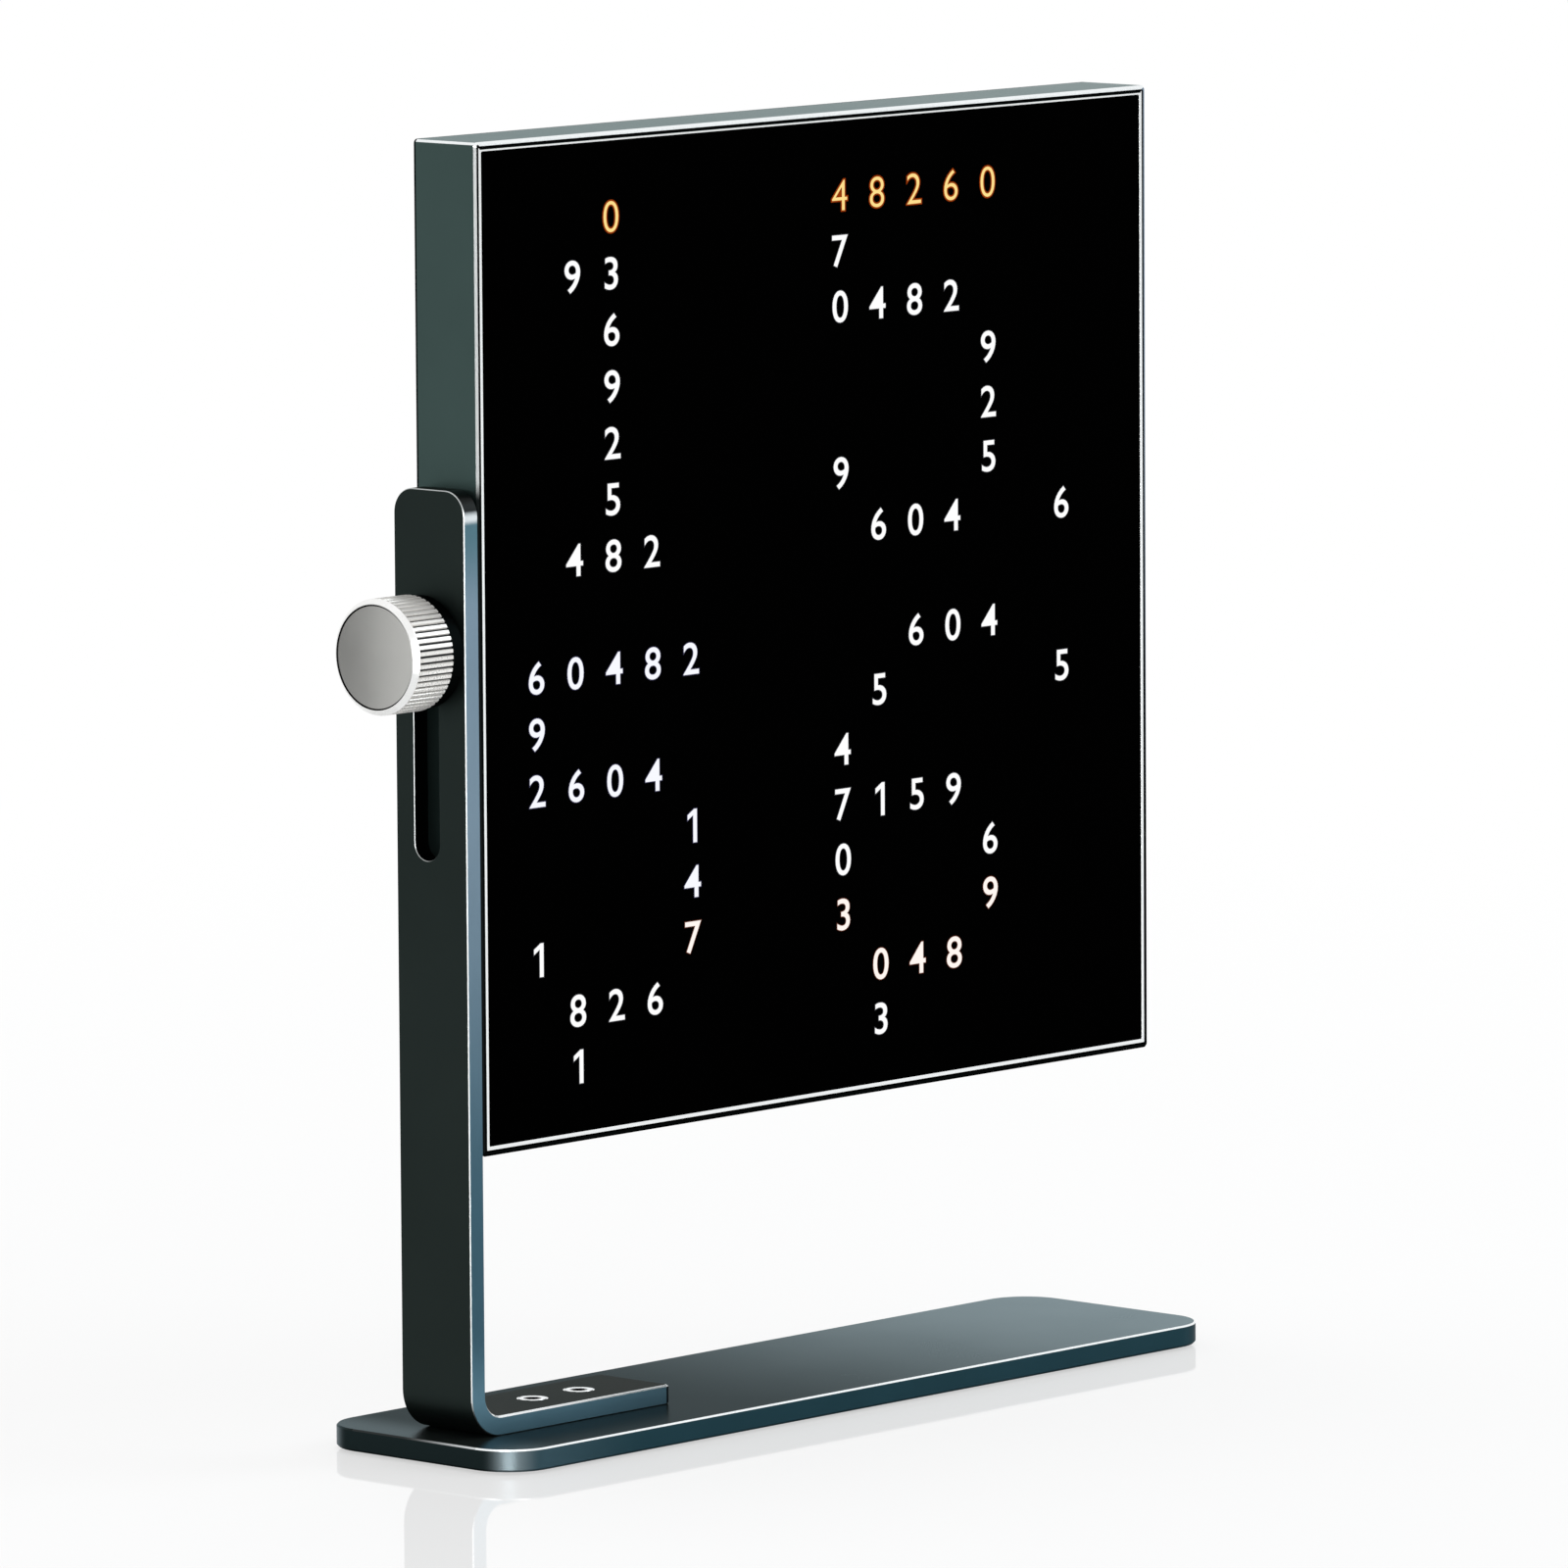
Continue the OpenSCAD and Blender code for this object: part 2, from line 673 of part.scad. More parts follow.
module control_board() {
    color("#1d5138") in_case() difference() {
        depth_block(control_x, control_bottom + control_h / 2, control_front, control_back, control_w, control_h);
        at_control_screws()
            depth_rod(0, 0, control_front - eps, control_back + eps, control_screw_d + 2 * screw_gap);
        at_link_pins() depth_block(0, 0, control_front - eps, control_back + eps,
            link_pin_side + 2 * screw_gap, link_pin_side + 2 * screw_gap);
    }
}

module control_board_screws() {
    color("#9aa0a0") in_case() at_control_screws() {
        depth_rod(0, 0, control_front - control_head_h, control_front, control_head_d);
        depth_rod(0, 0, control_front - control_head_h / 2, control_front + control_screw_l, control_screw_d);
    }
}

module link_pins() {
    color("#c8a64a") in_case() at_link_pins()
        depth_block(0, 0, led_back, control_back + link_pin_proud, link_pin_side, link_pin_side);
}

module processor_chip() {
    color("#202224") in_case()
        depth_block(processor_x, upper_row_z, control_back, control_back + processor_t,
            processor_side, processor_side);
}

module clock_chip() {
    color("#26282a") in_case()
        depth_block(clock_chip_x, lower_row_z, control_back, control_back + clock_chip_t,
            clock_chip_l, clock_chip_w);
}

module clock_crystal() {
    color("#c4c7c6") in_case() translate([crystal_x, control_back + crystal_d / 2, lower_row_z])
        rotate([0, 90, 0]) cylinder(d = crystal_d, h = crystal_l);
}

module cell_holder() {
    color("#2d2f31") in_case() difference() {
        depth_rod(coin_x, upper_row_z, control_back, control_back + holder_h, 2 * holder_r);
        depth_rod(coin_x, upper_row_z, control_back + holder_floor, control_back + holder_h + eps, 2 * coin_r);
    }
}

module coin_cell() {
    color("#d2d4d2") in_case()
        depth_rod(coin_x, upper_row_z, control_back + holder_floor, control_back + holder_h, coin_d);
}

module usb_socket() {
    color("#c5c9c9") in_case() translate([control_x, usb_depth, usb_bottom]) difference() {
        linear_extrude(usb_l) usb_outline(0);
        translate([0, 0, -eps]) linear_extrude(usb_l - usb_wall + eps) usb_outline(-usb_wall);
    }
}

module usb_tongue() {
    color("#1a1a1a") in_case() translate([control_x, usb_depth, usb_bottom + tongue_short])
        linear_extrude(usb_l - usb_wall - tongue_short) square([tongue_w, tongue_t], center = true);
}

module tact_switches() {
    color("#303335") in_case() for (x = button_x) difference() {
        depth_block(x, upper_row_z, control_back, switch_back, switch_side, switch_side);
        depth_rod(x, upper_row_z, switch_back - plunger_hole, switch_back + eps, plunger_d + 2 * button_gap);
    }
}

module rear_cover() {
    color("#2f3735") in_case() difference() {
        union() {
            sheet(cover_front, case_depth) case_square(in_side - 2 * fit_gap);
            for (x = [press_post_inset, case_side - press_post_inset], z = [-1, 1])
                depth_rod(x, z * (case_side / 2 - press_post_inset), led_back, cover_front, press_post_d);
            at_control_screws() depth_rod(0, 0, control_back, cover_front, boss_d);
        }
        at_posts() translate([0, case_depth, 0]) rotate([-90, 0, 0])
            countersunk_hole(cover_screw_d, cover_head_d, cover_t + eps);
        at_control_screws()
            depth_rod(0, 0, control_back - eps, control_back + boss_hole_depth, control_screw_d + 2 * screw_gap);
        for (x = button_x)
            depth_rod(x, upper_row_z, cover_front - eps, case_depth + eps, button_d + 2 * button_gap);
    }
}

module rear_cover_screws() {
    color("#4a5150") in_case() at_posts() translate([0, case_depth, 0]) rotate([-90, 0, 0])
        countersunk_screw(cover_screw_d, cover_head_d, cover_screw_l);
}

// Button cap with its inner flange
module button_cap(i) {
    color("#3a4341") in_case() {
        depth_rod(button_x[i], upper_row_z, flange_front, flange_back, button_d + 2 * flange_lip);
        depth_rod(button_x[i], upper_row_z, flange_back - flange_t / 2, case_depth + button_proud, button_d);
    }
}

// Plunger between a button cap and its switch
module button_plunger(i) {
    color("#d8d2c0") in_case() depth_rod(button_x[i], upper_row_z, plunger_front, flange_front, plunger_d);
}

module set_button() { button_cap(0); }
module plus_button() { button_cap(1); }
module minus_button() { button_cap(2); }
module set_plunger() { button_plunger(0); }
module plus_plunger() { button_plunger(1); }
module minus_plunger() { button_plunger(2); }

base_plate();
anti_slip_pad();
upright_bracket();
foot_screws();
slot_bush();
friction_washer();
clamp_washer();
clamp_knob();
knob_cap();
clamp_stud();
display_frame();
trim_ring();
front_glass();
numeral_film();
diffuser_sheet();
baffle_grid();
led_board();
led_chips();
clamp_block();
clamp_block_screws();
control_board();
control_board_screws();
link_pins();
processor_chip();
clock_chip();
clock_crystal();
cell_holder();
coin_cell();
usb_socket();
usb_tongue();
tact_switches();
rear_cover();
rear_cover_screws();
set_button();
set_plunger();
plus_button();
plus_plunger();
minus_button();
minus_plunger();
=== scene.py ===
"""Dresses the table clock: slate stand, ridged clamp knob, framed black glass with lit numerals.

Lengths are in metres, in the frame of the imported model. Places and main sizes come from the model's boxes and
joints. The edge treatments and finishes that the model leaves plain are fields of the classes below.
"""

import json
import logging
import math
from collections.abc import Callable, Iterable, Iterator, Mapping, Sequence
from dataclasses import dataclass, field
from enum import Enum, IntEnum
from typing import Any

import bmesh
import bpy
from mathutils import Matrix, Quaternion, Vector


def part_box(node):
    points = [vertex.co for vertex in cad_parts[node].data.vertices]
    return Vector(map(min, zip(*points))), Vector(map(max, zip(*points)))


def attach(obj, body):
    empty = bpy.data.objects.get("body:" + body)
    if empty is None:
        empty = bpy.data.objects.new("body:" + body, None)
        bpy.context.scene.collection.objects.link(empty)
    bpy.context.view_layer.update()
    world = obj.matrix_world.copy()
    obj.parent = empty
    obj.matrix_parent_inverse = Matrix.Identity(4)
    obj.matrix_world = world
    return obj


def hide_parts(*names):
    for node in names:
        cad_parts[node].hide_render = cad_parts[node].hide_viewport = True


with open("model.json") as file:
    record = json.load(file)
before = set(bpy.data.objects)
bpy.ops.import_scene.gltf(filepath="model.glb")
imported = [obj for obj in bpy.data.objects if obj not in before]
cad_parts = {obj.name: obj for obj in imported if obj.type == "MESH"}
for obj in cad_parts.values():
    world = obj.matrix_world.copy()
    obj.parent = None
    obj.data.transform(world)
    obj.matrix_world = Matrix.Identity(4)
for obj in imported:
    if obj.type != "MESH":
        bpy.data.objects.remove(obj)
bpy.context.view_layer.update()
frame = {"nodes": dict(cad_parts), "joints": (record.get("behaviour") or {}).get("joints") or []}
LOG = logging.getLogger("table_clock")

MM = 0.001
# The angle in degrees above which an edge is shaded sharp
CREASE = 35.0
# Corners closer than this are one corner
SAME_PLACE = 1e-7
# The radius of a corner that would otherwise vanish
LEAST_RADIUS = 0.02 * MM
# What noise gives on average
NOISE_MIDDLE = 0.5

Colour = tuple[float, float, float]
Point = tuple[float, float]
Cell = tuple[int, int]


# Shader building


class Value:
    """A socket of a node sheet that takes part in Python arithmetic."""

    def __init__(self, sheet: "NodeSheet", socket: bpy.types.NodeSocket) -> None:
        """Keeps the socket and the sheet that new nodes go to."""
        self.sheet = sheet
        self.socket = socket

    def _math(self, operation: str, first: Any, second: Any = 0.0) -> "Value":
        """Adds one Math node on two numbers or sockets."""
        return self.sheet.node("ShaderNodeMath", {"operation": operation}, {0: first, 1: second})

    def __add__(self, other: Any) -> "Value":
        """Adds a number or socket."""
        return self._math("ADD", self, other)

    def __radd__(self, other: Any) -> "Value":
        """Adds to a number."""
        return self._math("ADD", other, self)

    def __sub__(self, other: Any) -> "Value":
        """Takes a number or socket away."""
        return self._math("SUBTRACT", self, other)

    def __rsub__(self, other: Any) -> "Value":
        """Is taken away from a number."""
        return self._math("SUBTRACT", other, self)

    def __mul__(self, other: Any) -> "Value":
        """Multiplies by a number or socket."""
        return self._math("MULTIPLY", self, other)

    def __rmul__(self, other: Any) -> "Value":
        """Multiplies a number."""
        return self._math("MULTIPLY", other, self)

    def __gt__(self, other: Any) -> "Value":
        """Is 1 where the value is above a number, else 0."""
        return self._math("GREATER_THAN", self, other)

    def sine(self) -> "Value":
        """Gives the sine."""
        return self._math("SINE", self)

    def fraction(self) -> "Value":
        """Gives the part after the point."""
        return self._math("FRACT", self)

    def ramp(self, start: float, end: float) -> "Value":
        """Rises smoothly from 0 at one number to 1 at another."""
        sockets = {"Value": self, "From Min": start, "From Max": end}
        return self.sheet.node("ShaderNodeMapRange", {"interpolation_type": "SMOOTHSTEP"}, sockets)

    def larger(self, other: "Value") -> "Value":
        """Gives the larger of two sockets."""
        return self._math("MAXIMUM", self, other)


class NodeSheet:
    """A shader node tree under construction."""

    def __init__(self, tree: bpy.types.NodeTree) -> None:
        """Starts from an empty tree."""
        self.tree = tree
        tree.nodes.clear()

    def node(
        self,
        kind: str,
        settings: Mapping[str, Any] | None = None,
        sockets: Mapping[int | str, Any] | None = None,
        output: int | str = 0,
    ) -> Value:
        """Adds a node.

        Args:
            kind: The node's type name.
            settings: Its properties, set before its sockets.
            sockets: Values or links of its inputs, by name or index.
            output: The output to hand back, by name or index.

        Returns:
            The chosen output.
        """
        made = self.tree.nodes.new(kind)
        for key, setting in (settings or {}).items():
            setattr(made, key, setting)
        for key, value in (sockets or {}).items():
            self.feed(made.inputs[key], value)
        return Value(self, made.outputs[output])

    def feed(self, socket: bpy.types.NodeSocket, value: Any) -> None:
        """Links a socket to a Value, or sets its own number, vector or colour.

        Args:
            socket: The input to feed.
            value: The Value to link, or what the socket is set to.
        """
        if isinstance(value, Value):
            self.tree.links.new(value.socket, socket)
        elif socket.type == "RGBA":
            socket.default_value = (*value[:3], 1.0)
        else:
            socket.default_value = value


class FinishSheet(NodeSheet):
    """The node tree of one material around a Principled shader."""

    def __init__(self, name: str) -> None:
        """Makes the material with its shader and output.

        Args:
            name: The material's name.
        """
        self.material = bpy.data.materials.new(name)
        self.material.use_nodes = True
        super().__init__(self.material.node_tree)
        self.shader = self.tree.nodes.new("ShaderNodeBsdfPrincipled")
        self.output = self.tree.nodes.new("ShaderNodeOutputMaterial")
        self.tree.links.new(self.shader.outputs[0], self.output.inputs[0])

    def place(self, middle: Sequence[float] = (0, 0, 0), scale: Sequence[float] = (1, 1, 1)) -> Value:
        """Gives Object coordinates from a middle point, stretched by a scale.

        Args:
            middle: The point that becomes zero.
            scale: The stretch along each axis.

        Returns:
            The coordinates.
        """
        coordinates = self.node("ShaderNodeTexCoord", output="Object")
        from_middle = self.node(
            "ShaderNodeVectorMath", {"operation": "SUBTRACT"}, {0: coordinates, 1: tuple(middle)}
        )
        return self.node("ShaderNodeVectorMath", {"operation": "MULTIPLY"}, {0: from_middle, 1: tuple(scale)})

    def noise(self, size: float, detail: float = 2.0, scale: Sequence[float] = (1, 1, 1)) -> Value:
        """Gives noise.

        Args:
            size: About how large its grains are, in metres.
            detail: How many finer octaves it has.
            scale: How much it is squeezed along each axis.

        Returns:
            The noise, from 0 to 1 about its middle.
        """
        return self.node(
            "ShaderNodeTexNoise",
            {"noise_dimensions": "3D"},
            {"Vector": self.place(scale=scale), "Scale": 1 / size, "Detail": detail},
        )

    def blend(self, factor: Value, low: Any, high: Any) -> Value:
        """Gives a colour between two colours."""
        return self.node("ShaderNodeMix", {"data_type": "RGBA"}, {0: factor, 6: low, 7: high}, output=2)

    def bump(self, height: Value, depth: float, strength: float = 0.3) -> Value:
        """Gives the normal of a height of the given depth in metres."""
        return self.node("ShaderNodeBump", sockets={"Height": height, "Distance": depth, "Strength": strength})

    def paint(self, sockets: Mapping[str, Any]) -> bpy.types.Material:
        """Feeds the Principled shader.

        Args:
            sockets: Values, numbers or colours of the shader's inputs, by name.

        Returns:
            The material.
        """
        for key, value in sockets.items():
            self.feed(self.shader.inputs[key], value)
        return self.material


def shade(tint: Colour, factor: float) -> Colour:
    """Gives a colour made lighter or darker."""
    return tuple(min(1.0, channel * factor) for channel in tint)


# Finishes


@dataclass(frozen=True)
class Finish:
    """What every finish has: a name, a colour and a roughness."""

    name: str
    tint: Colour
    roughness: float

    def material(self) -> bpy.types.Material:
        """Gives the finish's material, made once."""
        return bpy.data.materials.get(self.name) or self.mix(FinishSheet(self.name))

    def mix(self, sheet: FinishSheet) -> bpy.types.Material:
        """Builds the material on an empty sheet."""
        raise NotImplementedError


@dataclass(frozen=True)
class Fade:
    """A slow change along one axis of the part to a second colour and metallic share; the fades in this script paint
    light, shade and highlights.
    """

    axis: str
    start: float
    end: float
    tint: Colour
    metallic: float | None = None

    def share(self, sheet: FinishSheet) -> Value:
        """Gives the share of the second colour at each place."""
        along = sheet.node("ShaderNodeSeparateXYZ", sockets={0: sheet.place()}, output=self.axis)
        return along.ramp(self.start, self.end)


@dataclass(frozen=True)
class FadingFinish(Finish):
    """A finish whose colour is uneven and may fade to others along the part."""

    fades: tuple[Fade, ...] = ()

    def tone(self, sheet: FinishSheet, cloud: Value, spread: float) -> Value:
        """Gives the colour at each place.

        Args:
            sheet: The sheet that the material is built on.
            cloud: The pattern that makes the colour uneven.
            spread: How far the colour goes either way.

        Returns:
            The colour, after each fade in turn.
        """
        tone = sheet.blend(cloud, shade(self.tint, 1 - spread), shade(self.tint, 1 + spread))
        for fade in self.fades:
            second = sheet.blend(cloud, shade(fade.tint, 1 - spread), shade(fade.tint, 1 + spread))
            tone = sheet.blend(fade.share(sheet), tone, second)
        return tone


@dataclass(frozen=True)
class AnodisedMetal(FadingFinish):
    """Bead-blasted metal with a coloured oxide layer, a little uneven from part to part of the surface."""

    metallic: float = 0.92
    grain: float = 0.35 * MM
    relief: float = 0.25
    grazing: Colour = (1.0, 1.0, 1.0)
    pit_depth: float = 0.02 * MM
    grain_gloss: float = 0.4
    cloud_size: float = 26 * MM
    cloud_gloss: float = 0.06
    unevenness: float = 0.13

    def gloss(self, sheet: FinishSheet) -> Any:
        """Gives the metallic share, which fades change along the part to paint a brighter or duller reflection.

        Args:
            sheet: The sheet that the material is built on.

        Returns:
            One number for the whole surface, or a Value where a fade changes it.
        """
        gloss: Any = self.metallic
        for fade in self.fades:
            if fade.metallic is not None:
                gloss = gloss + (fade.metallic - gloss) * fade.share(sheet)
        return gloss

    def mix(self, sheet: FinishSheet) -> bpy.types.Material:
        """Builds the material.

        Args:
            sheet: The empty sheet to build it on.

        Returns:
            The material.
        """
        blasted = sheet.noise(self.grain, detail=3.0)
        cloud = sheet.noise(self.cloud_size, detail=3.0)
        grainy = self.grain_gloss * self.relief * (blasted - NOISE_MIDDLE)
        return sheet.paint(
            {
                "Base Color": self.tone(sheet, cloud, self.unevenness),
                "Metallic": self.gloss(sheet),
                "Specular IOR Level": 0.0,
                "Specular Tint": self.grazing,
                "Roughness": self.roughness + grainy + self.cloud_gloss * (cloud - NOISE_MIDDLE),
                "Normal": sheet.bump(blasted, self.pit_depth, self.relief),
            }
        )


@dataclass(frozen=True)
class CutMetal(FadingFinish):
    """Bare metal that a cutter left bright, with fine tool lines."""

    line_size: float = 0.6 * MM
    line_squeeze: tuple[float, float, float] = (1.0, 1.0, 3.0)
    line_depth: float = 0.01 * MM
    line_relief: float = 0.15
    line_gloss: float = 0.12
    unevenness: float = 0.06

    def mix(self, sheet: FinishSheet) -> bpy.types.Material:
        """Builds the material.

        Args:
            sheet: The empty sheet to build it on.

        Returns:
            The material.
        """
        lines = sheet.noise(self.line_size, detail=4.0, scale=self.line_squeeze)
        return sheet.paint(
            {
                "Base Color": self.tone(sheet, lines, self.unevenness),
                "Metallic": 1.0,
                "Roughness": self.roughness + self.line_gloss * (lines - NOISE_MIDDLE),
                "Normal": sheet.bump(lines, self.line_depth, self.line_relief),
            }
        )


@dataclass(frozen=True)
class SpunMetal(Finish):
    """Metal turned on a lathe: fine rings round an axis along X, and a painted sheen that can lighten it towards
    negative Y.
    """

    middle: tuple[float, float, float] = (0, 0, 0)
    ring_pitch: float = 0.22 * MM
    sheen: float = 0.0
    reach: float = 9 * MM
    ring_wander: float = 2.5
    ring_depth: float = 0.004 * MM
    ring_relief: float = 0.2
    ring_gloss: float = 0.04
    cloud_size: float = 7 * MM
    cloud_tone: float = 0.2
    cloud_gloss: float = 0.10
    contrast: float = 0.4

    def mix(self, sheet: FinishSheet) -> bpy.types.Material:
        """Builds the material.

        Args:
            sheet: The empty sheet to build it on.

        Returns:
            The material.
        """
        across = sheet.place(self.middle, (0, 1, 1))
        radius = sheet.node("ShaderNodeVectorMath", {"operation": "LENGTH"}, {0: across}, output="Value")
        cloud = sheet.noise(self.cloud_size, detail=2.0)
        rings = (radius * (2 * math.pi / self.ring_pitch) + self.ring_wander * cloud).sine()
        side = sheet.node("ShaderNodeSeparateXYZ", sockets={0: across}, output="Y")
        # Painted sheen: the colour lightens across the face towards negative Y.
        light = self.sheen * (side * -1.0).ramp(-self.reach, self.reach) + (0.5 - self.sheen / 2)
        uneven = cloud - NOISE_MIDDLE
        dark, pale = shade(self.tint, 1 - self.contrast), shade(self.tint, 1 + self.contrast)
        return sheet.paint(
            {
                "Base Color": sheet.blend(light + self.cloud_tone * uneven, dark, pale),
                "Metallic": 1.0,
                "Roughness": self.roughness + self.ring_gloss * rings + self.cloud_gloss * uneven,
                "Normal": sheet.bump(rings, self.ring_depth, self.ring_relief),
            }
        )


@dataclass(frozen=True)
class BlackGlass(Finish):
    """Deep black glass with a faint bloom of handling."""

    specular: float = 0.001
    bloom_size: float = 38 * MM
    bloom_gloss: float = 0.05
    speck_size: float = 1.2 * MM
    speck_gloss: float = 0.02
    contrast: float = 0.4

    def mix(self, sheet: FinishSheet) -> bpy.types.Material:
        """Builds the material.

        Args:
            sheet: The empty sheet to build it on.

        Returns:
            The material.
        """
        bloom = sheet.noise(self.bloom_size, detail=4.0)
        speck = sheet.noise(self.speck_size, detail=2.0)
        dark, pale = shade(self.tint, 1 - self.contrast), shade(self.tint, 1 + self.contrast)
        return sheet.paint(
            {
                "Base Color": sheet.blend(bloom, dark, pale),
                "Roughness": self.roughness + self.bloom_gloss * bloom + self.speck_gloss * speck,
                "Specular IOR Level": self.specular,
            }
        )


@dataclass(frozen=True)
class Moulding(Finish):
    """Moulded plastic or rubber with a fine eroded texture."""

    grain: float = 0.4 * MM
    depth: float = 0.03 * MM
    relief: float = 0.35
    grain_gloss: float = 0.14
    flow_size: float = 22 * MM
    unevenness: float = 0.08

    def mix(self, sheet: FinishSheet) -> bpy.types.Material:
        """Builds the material.

        Args:
            sheet: The empty sheet to build it on.

        Returns:
            The material.
        """
        texture = sheet.noise(self.grain, detail=4.0)
        flow = sheet.noise(self.flow_size, detail=2.0)
        low, high = 1 - self.unevenness, 1 + self.unevenness
        return sheet.paint(
            {
                "Base Color": sheet.blend(flow, shade(self.tint, low), shade(self.tint, high)),
                "Roughness": self.roughness + self.grain_gloss * (texture - NOISE_MIDDLE),
                "Normal": sheet.bump(texture, self.depth, self.relief),
            }
        )


@dataclass(frozen=True)
class BoardMask(Finish):
    """Green solder mask with the faint relief of tracks under it."""

    track_pitch: float = 2.54 * MM
    track_start: float = 0.72
    track_wander: float = 0.6
    track_lightness: float = 1.5
    track_depth: float = 0.02 * MM
    track_relief: float = 0.3
    weave_size: float = 5 * MM
    weave_gloss: float = 0.1

    def mix(self, sheet: FinishSheet) -> bpy.types.Material:
        """Builds the material.

        Args:
            sheet: The empty sheet to build it on.

        Returns:
            The material.
        """
        along = sheet.node("ShaderNodeSeparateXYZ", sockets={0: sheet.place()}, output="X")
        weave = sheet.noise(self.weave_size, detail=2.0)
        track = (along * (1 / self.track_pitch) + self.track_wander * weave).fraction() > self.track_start
        return sheet.paint(
            {
                "Base Color": sheet.blend(track, self.tint, shade(self.tint, self.track_lightness)),
                "Roughness": self.roughness + self.weave_gloss * weave,
                "Normal": sheet.bump(track, self.track_depth, self.track_relief),
            }
        )


@dataclass(frozen=True)
class NumeralLight(Finish):
    """Light through the numeral windows, coloured by the piece's glow attribute."""

    strength: float = 1.0

    def mix(self, sheet: FinishSheet) -> bpy.types.Material:
        """Builds the material.

        Args:
            sheet: The empty sheet to build it on.

        Returns:
            The material.
        """
        glow = sheet.node("ShaderNodeAttribute", {"attribute_name": "glow"}, output="Color")
        return sheet.paint(
            {
                "Base Color": self.tint,
                "Roughness": self.roughness,
                "Specular IOR Level": 0.0,
                "Emission Color": glow,
                "Emission Strength": self.strength,
            }
        )


# Meshes


@dataclass(frozen=True)
class Outline:
    """A rectangle with round corners about its own middle; a circle where the radius is half of both sides."""

    width: float
    height: float
    radius: float
    steps: int = 10

    @classmethod
    def circle(cls, radius: float, steps: int = 16) -> "Outline":
        """Gives a circle."""
        return cls(2 * radius, 2 * radius, radius, steps)

    def grown(self, by: float) -> "Outline":
        """Gives the outline moved outwards by a distance, or inwards by a negative one."""
        radius = max(self.radius + by, LEAST_RADIUS)
        return Outline(self.width + 2 * by, self.height + 2 * by, radius, self.steps)

    def points(self) -> list[Point]:
        """Gives the points once round, anticlockwise.

        Returns:
            The points, from the right end of the corner at the upper right on.
        """
        found: list[Point] = []
        for corner in range(4):
            turn = corner * math.pi / 2
            along = self.width / 2 - self.radius if corner in (0, 3) else self.radius - self.width / 2
            up = self.height / 2 - self.radius if corner in (0, 1) else self.radius - self.height / 2
            for step in range(self.steps + 1):
                angle = turn + step / self.steps * math.pi / 2
                point = (along + self.radius * math.cos(angle), up + self.radius * math.sin(angle))
                if not found or math.dist(found[-1], point) > SAME_PLACE:
                    found.append(point)
        if math.dist(found[0], found[-1]) < SAME_PLACE:
            found.pop()
        return found


class Facing(Enum):
    """The plane that an outline is laid in; its level is along the third axis."""

    UP = "level in z"
    FRONT = "level in y"
    SIDE = "level in x"

    def lay(self, points: Iterable[Point], middle: Point, level: float) -> list[Vector]:
        """Lays flat points in space.

        Args:
            points: Points about the outline's own middle.
            middle: Where that middle goes in the plane.
            level: The plane's place along the third axis.

        Returns:
            The points in space.
        """
        laid = []
        for across, along in points:
            u, v = middle[0] + across, middle[1] + along
            laid.append(
                Vector({Facing.UP: (u, v, level), Facing.FRONT: (u, level, v), Facing.SIDE: (level, u, v)}[self])
            )
        return laid


class Run(IntEnum):
    """The corners and straight sides of an outline, in the order of its points."""

    UPPER_RIGHT = 0
    TOP = 1
    UPPER_LEFT = 2
    LEFT = 3
    LOWER_LEFT = 4
    BOTTOM = 5
    LOWER_RIGHT = 6
    RIGHT = 7


@dataclass(frozen=True)
class Layer:
    """One outline of a stack, its level, and the skins of the band that leads to it from the layer before.

    The corner skin lies along the middle half of each corner. The run skins are those of the corners and straight
    sides that differ from the rest.
    """

    outline: Outline
    level: float
    skin: int = 0
    corner_skin: int | None = None
    run_skins: Mapping[Run, int] = field(default_factory=dict)

    def skin_at(self, side: int) -> int:
        """Gives the skin of one face of the band.

        Args:
            side: The face's number, in the order of the outline's points.

        Returns:
            The number of its skin.
        """
        steps = self.outline.steps
        corner, step = divmod(side, steps + 1)
        run = Run(2 * corner + step // steps)
        if run in self.run_skins:
            return self.run_skins[run]
        if self.corner_skin is not None and steps // 4 <= step < steps - steps // 4:
            return self.corner_skin
        return self.skin


Ring = list[bmesh.types.BMVert]


def plain_skin(side: int) -> int:
    """Gives every face of a band the first skin."""
    return 0


